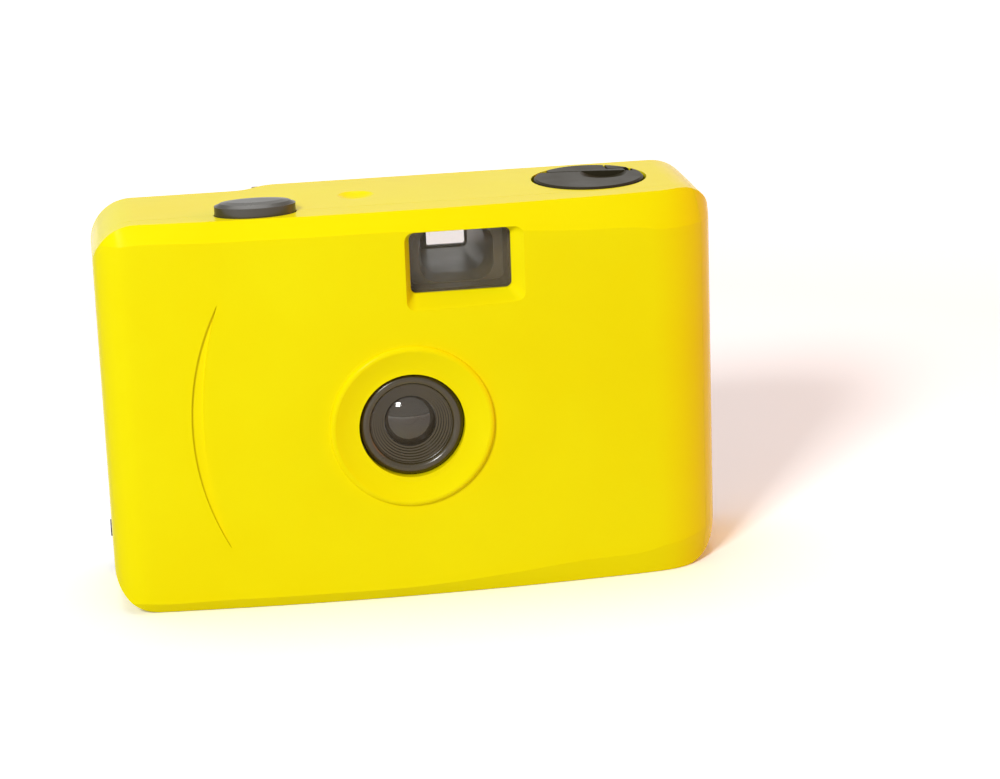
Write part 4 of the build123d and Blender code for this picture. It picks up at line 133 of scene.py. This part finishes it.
def noise(tree, vector, scale, detail=4.0, roughness=0.5):
    """The factor output of a noise texture, with the scale in cycles per metre."""
    texture = tree.nodes.new("ShaderNodeTexNoise")
    texture.inputs["Scale"].default_value = scale
    texture.inputs["Detail"].default_value = detail
    texture.inputs["Roughness"].default_value = roughness
    tree.links.new(vector, texture.inputs["Vector"])
    return texture.outputs["Fac"]


def ramp(tree, factor, low, high, start=0.35, end=0.65):
    """A two-colour ramp over a factor."""
    node = tree.nodes.new("ShaderNodeValToRGB")
    node.color_ramp.elements[0].position = start
    node.color_ramp.elements[0].color = low
    node.color_ramp.elements[1].position = end
    node.color_ramp.elements[1].color = high
    tree.links.new(factor, node.inputs["Fac"])
    return node.outputs["Color"]


def spread(tree, factor, low, high):
    """Maps a 0 to 1 factor to a low to high value."""
    node = tree.nodes.new("ShaderNodeMapRange")
    node.inputs["From Min"].default_value = 0.3
    node.inputs["From Max"].default_value = 0.7
    node.inputs["To Min"].default_value = low
    node.inputs["To Max"].default_value = high
    tree.links.new(factor, node.inputs["Value"])
    return node.outputs["Result"]


def bump(tree, shader, height, strength, distance):
    """Adds a bump to the shader's normal."""
    node = tree.nodes.new("ShaderNodeBump")
    node.inputs["Strength"].default_value = strength
    node.inputs["Distance"].default_value = distance
    tree.links.new(height, node.inputs["Height"])
    tree.links.new(node.outputs["Normal"], shader.inputs["Normal"])


def moulded_plastic(name, colour, deep, roughness, grain, coat, shine):
    """Moulded plastic: faint colour drift, uneven gloss and a fine skin."""
    material, tree, shader, vector = new_material(name)
    tree.links.new(ramp(tree, noise(tree, vector, 35), deep, colour), shader.inputs["Base Color"])
    gloss = spread(tree, noise(tree, vector, 160), roughness * 0.85, roughness * 1.2)
    tree.links.new(gloss, shader.inputs["Roughness"])
    shader.inputs["Coat Weight"].default_value = coat
    shader.inputs["Coat Roughness"].default_value = 0.12
    shader.inputs["Specular IOR Level"].default_value = shine
    bump(tree, shader, noise(tree, vector, grain, 3.0), 0.18, 0.00005)
    return material


def steel(name):
    """Plain sheet steel, drawn along X."""
    material, tree, shader, vector = new_material(name)
    stretch = tree.nodes.new("ShaderNodeMapping")
    stretch.inputs["Scale"].default_value = (0.08, 1, 1)
    tree.links.new(vector, stretch.inputs["Vector"])
    lines = noise(tree, stretch.outputs["Vector"], 4000, 3.0)
    tree.links.new(ramp(tree, lines, STEEL_DARK, STEEL), shader.inputs["Base Color"])
    tree.links.new(spread(tree, lines, 0.24, 0.4), shader.inputs["Roughness"])
    shader.inputs["Metallic"].default_value = 1.0
    bump(tree, shader, lines, 0.12, 0.00003)
    return material


def foam(name):
    """Soft black foam."""
    material, tree, shader, vector = new_material(name)
    cells = noise(tree, vector, 3000, 5.0)
    tree.links.new(ramp(tree, cells, FOAM, FOAM_LIGHT), shader.inputs["Base Color"])
    shader.inputs["Roughness"].default_value = 0.95
    bump(tree, shader, cells, 0.8, 0.0002)
    return material


def clear_pane(name, colour, alpha, roughness):
    """A clear plastic pane: mostly see-through, with a polished skin and faint haze."""
    material, tree, shader, vector = new_material(name)
    haze = noise(tree, vector, 90)
    low = tuple(0.92 * channel for channel in colour[:3]) + (1,)
    tree.links.new(ramp(tree, haze, low, colour), shader.inputs["Base Color"])
    tree.links.new(spread(tree, haze, roughness, roughness * 1.6), shader.inputs["Roughness"])
    shader.inputs["Alpha"].default_value = alpha
    shader.inputs["IOR"].default_value = 1.49
    shader.inputs["Coat Weight"].default_value = 0.6
    shader.inputs["Coat Roughness"].default_value = 0.02
    return material


def printed_ink(name):
    """Black printing ink for the dial figures."""
    material, tree, shader, vector = new_material(name)
    colour = ramp(tree, noise(tree, vector, 900), INNER_BLACK, INNER_BLACK_LIGHT)
    tree.links.new(colour, shader.inputs["Base Color"])
    shader.inputs["Roughness"].default_value = 0.5
    return material


def paint(names, material):
    """Gives CAD nodes a material."""
    for name in names:
        nodes[name].data.materials.clear()
        nodes[name].data.materials.append(material)


def shade_nodes():
    """Materials of every CAD node; what is neither moulded, clear nor foam is steel."""
    left = set(nodes)
    for *look, names in MOULDED:
        paint(names, moulded_plastic(*look))
        left -= set(names)
    for *look, names in CLEAR:
        paint(names, clear_pane(*look))
        left -= set(names)
    paint(("light_seals",), foam("seal_foam"))
    left.remove("light_seals")
    paint(sorted(left), steel("plain_steel"))


def dial_figures():
    """Figures printed round the frame counter dial, every second frame."""
    low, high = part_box("counter_dial")
    centre = Vector(((low[0] + high[0]) / 2, (low[1] + high[1]) / 2, high[2]))
    radius = (high[0] - low[0]) / 2
    ink = printed_ink("dial_ink")
    for step in range(FIGURE_COUNT):
        angle = pi / 2 - step * 2 * pi / FIGURE_COUNT
        out = Vector((cos(angle), sin(angle), 0))
        curve = bpy.data.curves.new(f"dial_figure_{step}", "FONT")
        curve.body = str(2 * step + 2)
        curve.size = radius * FIGURE_SIZE
        curve.align_x = "CENTER"
        curve.align_y = "CENTER"
        curve.extrude = FIGURE_RELIEF
        curve.materials.append(ink)
        figure = bpy.data.objects.new(f"dial_figure_{step}", curve)
        figure.location = centre + out * radius * FIGURE_PLACE + Vector((0, 0, FIGURE_LIFT))
        figure.rotation_euler = (0, 0, angle + pi / 2)
        bpy.context.collection.objects.link(figure)
        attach(figure, "counter")


def background_ray(tree):
    """1 for rays that see the background straight, mirrored or through glass, 0 for light on the object."""
    path = tree.nodes.new("ShaderNodeLightPath")
    straight = tree.nodes.new("ShaderNodeMath")
    straight.operation = "MAXIMUM"
    tree.links.new(path.outputs["Is Camera Ray"], straight.inputs[0])
    tree.links.new(path.outputs["Is Transmission Ray"], straight.inputs[1])
    mirrored = tree.nodes.new("ShaderNodeMath")
    mirrored.operation = "MAXIMUM"
    tree.links.new(straight.outputs["Value"], mirrored.inputs[0])
    tree.links.new(path.outputs["Is Glossy Ray"], mirrored.inputs[1])
    return mirrored.outputs["Value"]


def area_light(name, place, target, size, power, colour):
    """A square soft light that faces a target."""
    light = bpy.data.lights.new(name, "AREA")
    light.size = size
    light.energy = power
    light.color = colour
    lamp = bpy.data.objects.new(name, light)
    lamp.location = place
    lamp.rotation_euler = (Vector(target) - Vector(place)).to_track_quat("-Z", "Y").to_euler()
    bpy.context.collection.objects.link(lamp)


def studio():
    """Pale floor, white surroundings and soft lights."""
    bpy.ops.mesh.primitive_plane_add(size=FLOOR_SIZE, location=(0, 0, -FLOOR_DROP))
    floor = bpy.context.object
    floor.name = "floor"
    material, tree, shader, vector = new_material("floor_white")
    brightness = tree.nodes.new("ShaderNodeMapRange")
    brightness.inputs["To Min"].default_value = FLOOR_WHITE
    distance = tree.nodes.new("ShaderNodeVectorMath")
    distance.operation = "LENGTH"
    tree.links.new(vector, distance.inputs[0])
    far = tree.nodes.new("ShaderNodeMapRange")
    far.inputs["From Min"].default_value = FLOOR_NEAR
    far.inputs["From Max"].default_value = FLOOR_FAR
    far.inputs["To Min"].default_value = FLOOR_SEEN_NEAR
    far.inputs["To Max"].default_value = FLOOR_SEEN_FAR
    tree.links.new(distance.outputs["Value"], far.inputs["Value"])
    tree.links.new(far.outputs["Result"], brightness.inputs["To Max"])
    tree.links.new(background_ray(tree), brightness.inputs["Value"])
    tree.links.new(brightness.outputs["Result"], shader.inputs["Base Color"])
    shader.inputs["Roughness"].default_value = FLOOR_ROUGHNESS
    floor.data.materials.append(material)
    world = bpy.data.worlds.new("white_room")
    bpy.context.scene.world = world
    world.use_nodes = True
    tree = world.node_tree
    seen = tree.nodes["Background"]
    seen.inputs["Color"].default_value = (*WHITE, 1)
    seen.inputs["Strength"].default_value = 1.0
    surround = tree.nodes.new("ShaderNodeBackground")
    surround.inputs["Color"].default_value = (*WHITE, 1)
    surround.inputs["Strength"].default_value = AMBIENT
    choice = tree.nodes.new("ShaderNodeMixShader")
    tree.links.new(background_ray(tree), choice.inputs["Fac"])
    tree.links.new(surround.outputs["Background"], choice.inputs[1])
    tree.links.new(seen.outputs["Background"], choice.inputs[2])
    tree.links.new(choice.outputs["Shader"], tree.nodes["World Output"].inputs["Surface"])
    for lamp in LAMPS:
        area_light(*lamp)


def camera():
    """The camera at the photograph's viewing angle."""
    azimuth = radians(CAMERA_AZIMUTH)
    elevation = radians(CAMERA_ELEVATION)
    direction = Vector((sin(azimuth) * cos(elevation), -cos(azimuth) * cos(elevation), sin(elevation)))
    place = CAMERA_CENTRE + direction * CAMERA_DISTANCE
    forward = (CAMERA_AIM - place).normalized()
    right = forward.cross(Vector((0, 0, 1))).normalized()
    up = right.cross(forward)
    roll = radians(CAMERA_ROLL)
    turned_right = right * cos(roll) + up * sin(roll)
    turned_up = up * cos(roll) - right * sin(roll)
    data = bpy.data.cameras.new("camera")
    data.lens = CAMERA_LENS
    data.sensor_width = SENSOR
    data.clip_start = 0.01
    eye = bpy.data.objects.new("camera", data)
    rotation = Matrix((turned_right, turned_up, -forward)).transposed()
    eye.matrix_world = Matrix.Translation(place) @ rotation.to_4x4()
    bpy.context.collection.objects.link(eye)
    bpy.context.scene.camera = eye


shade_nodes()
dial_figures()
studio()
camera()
bpy.context.scene.view_settings.view_transform = "Standard"
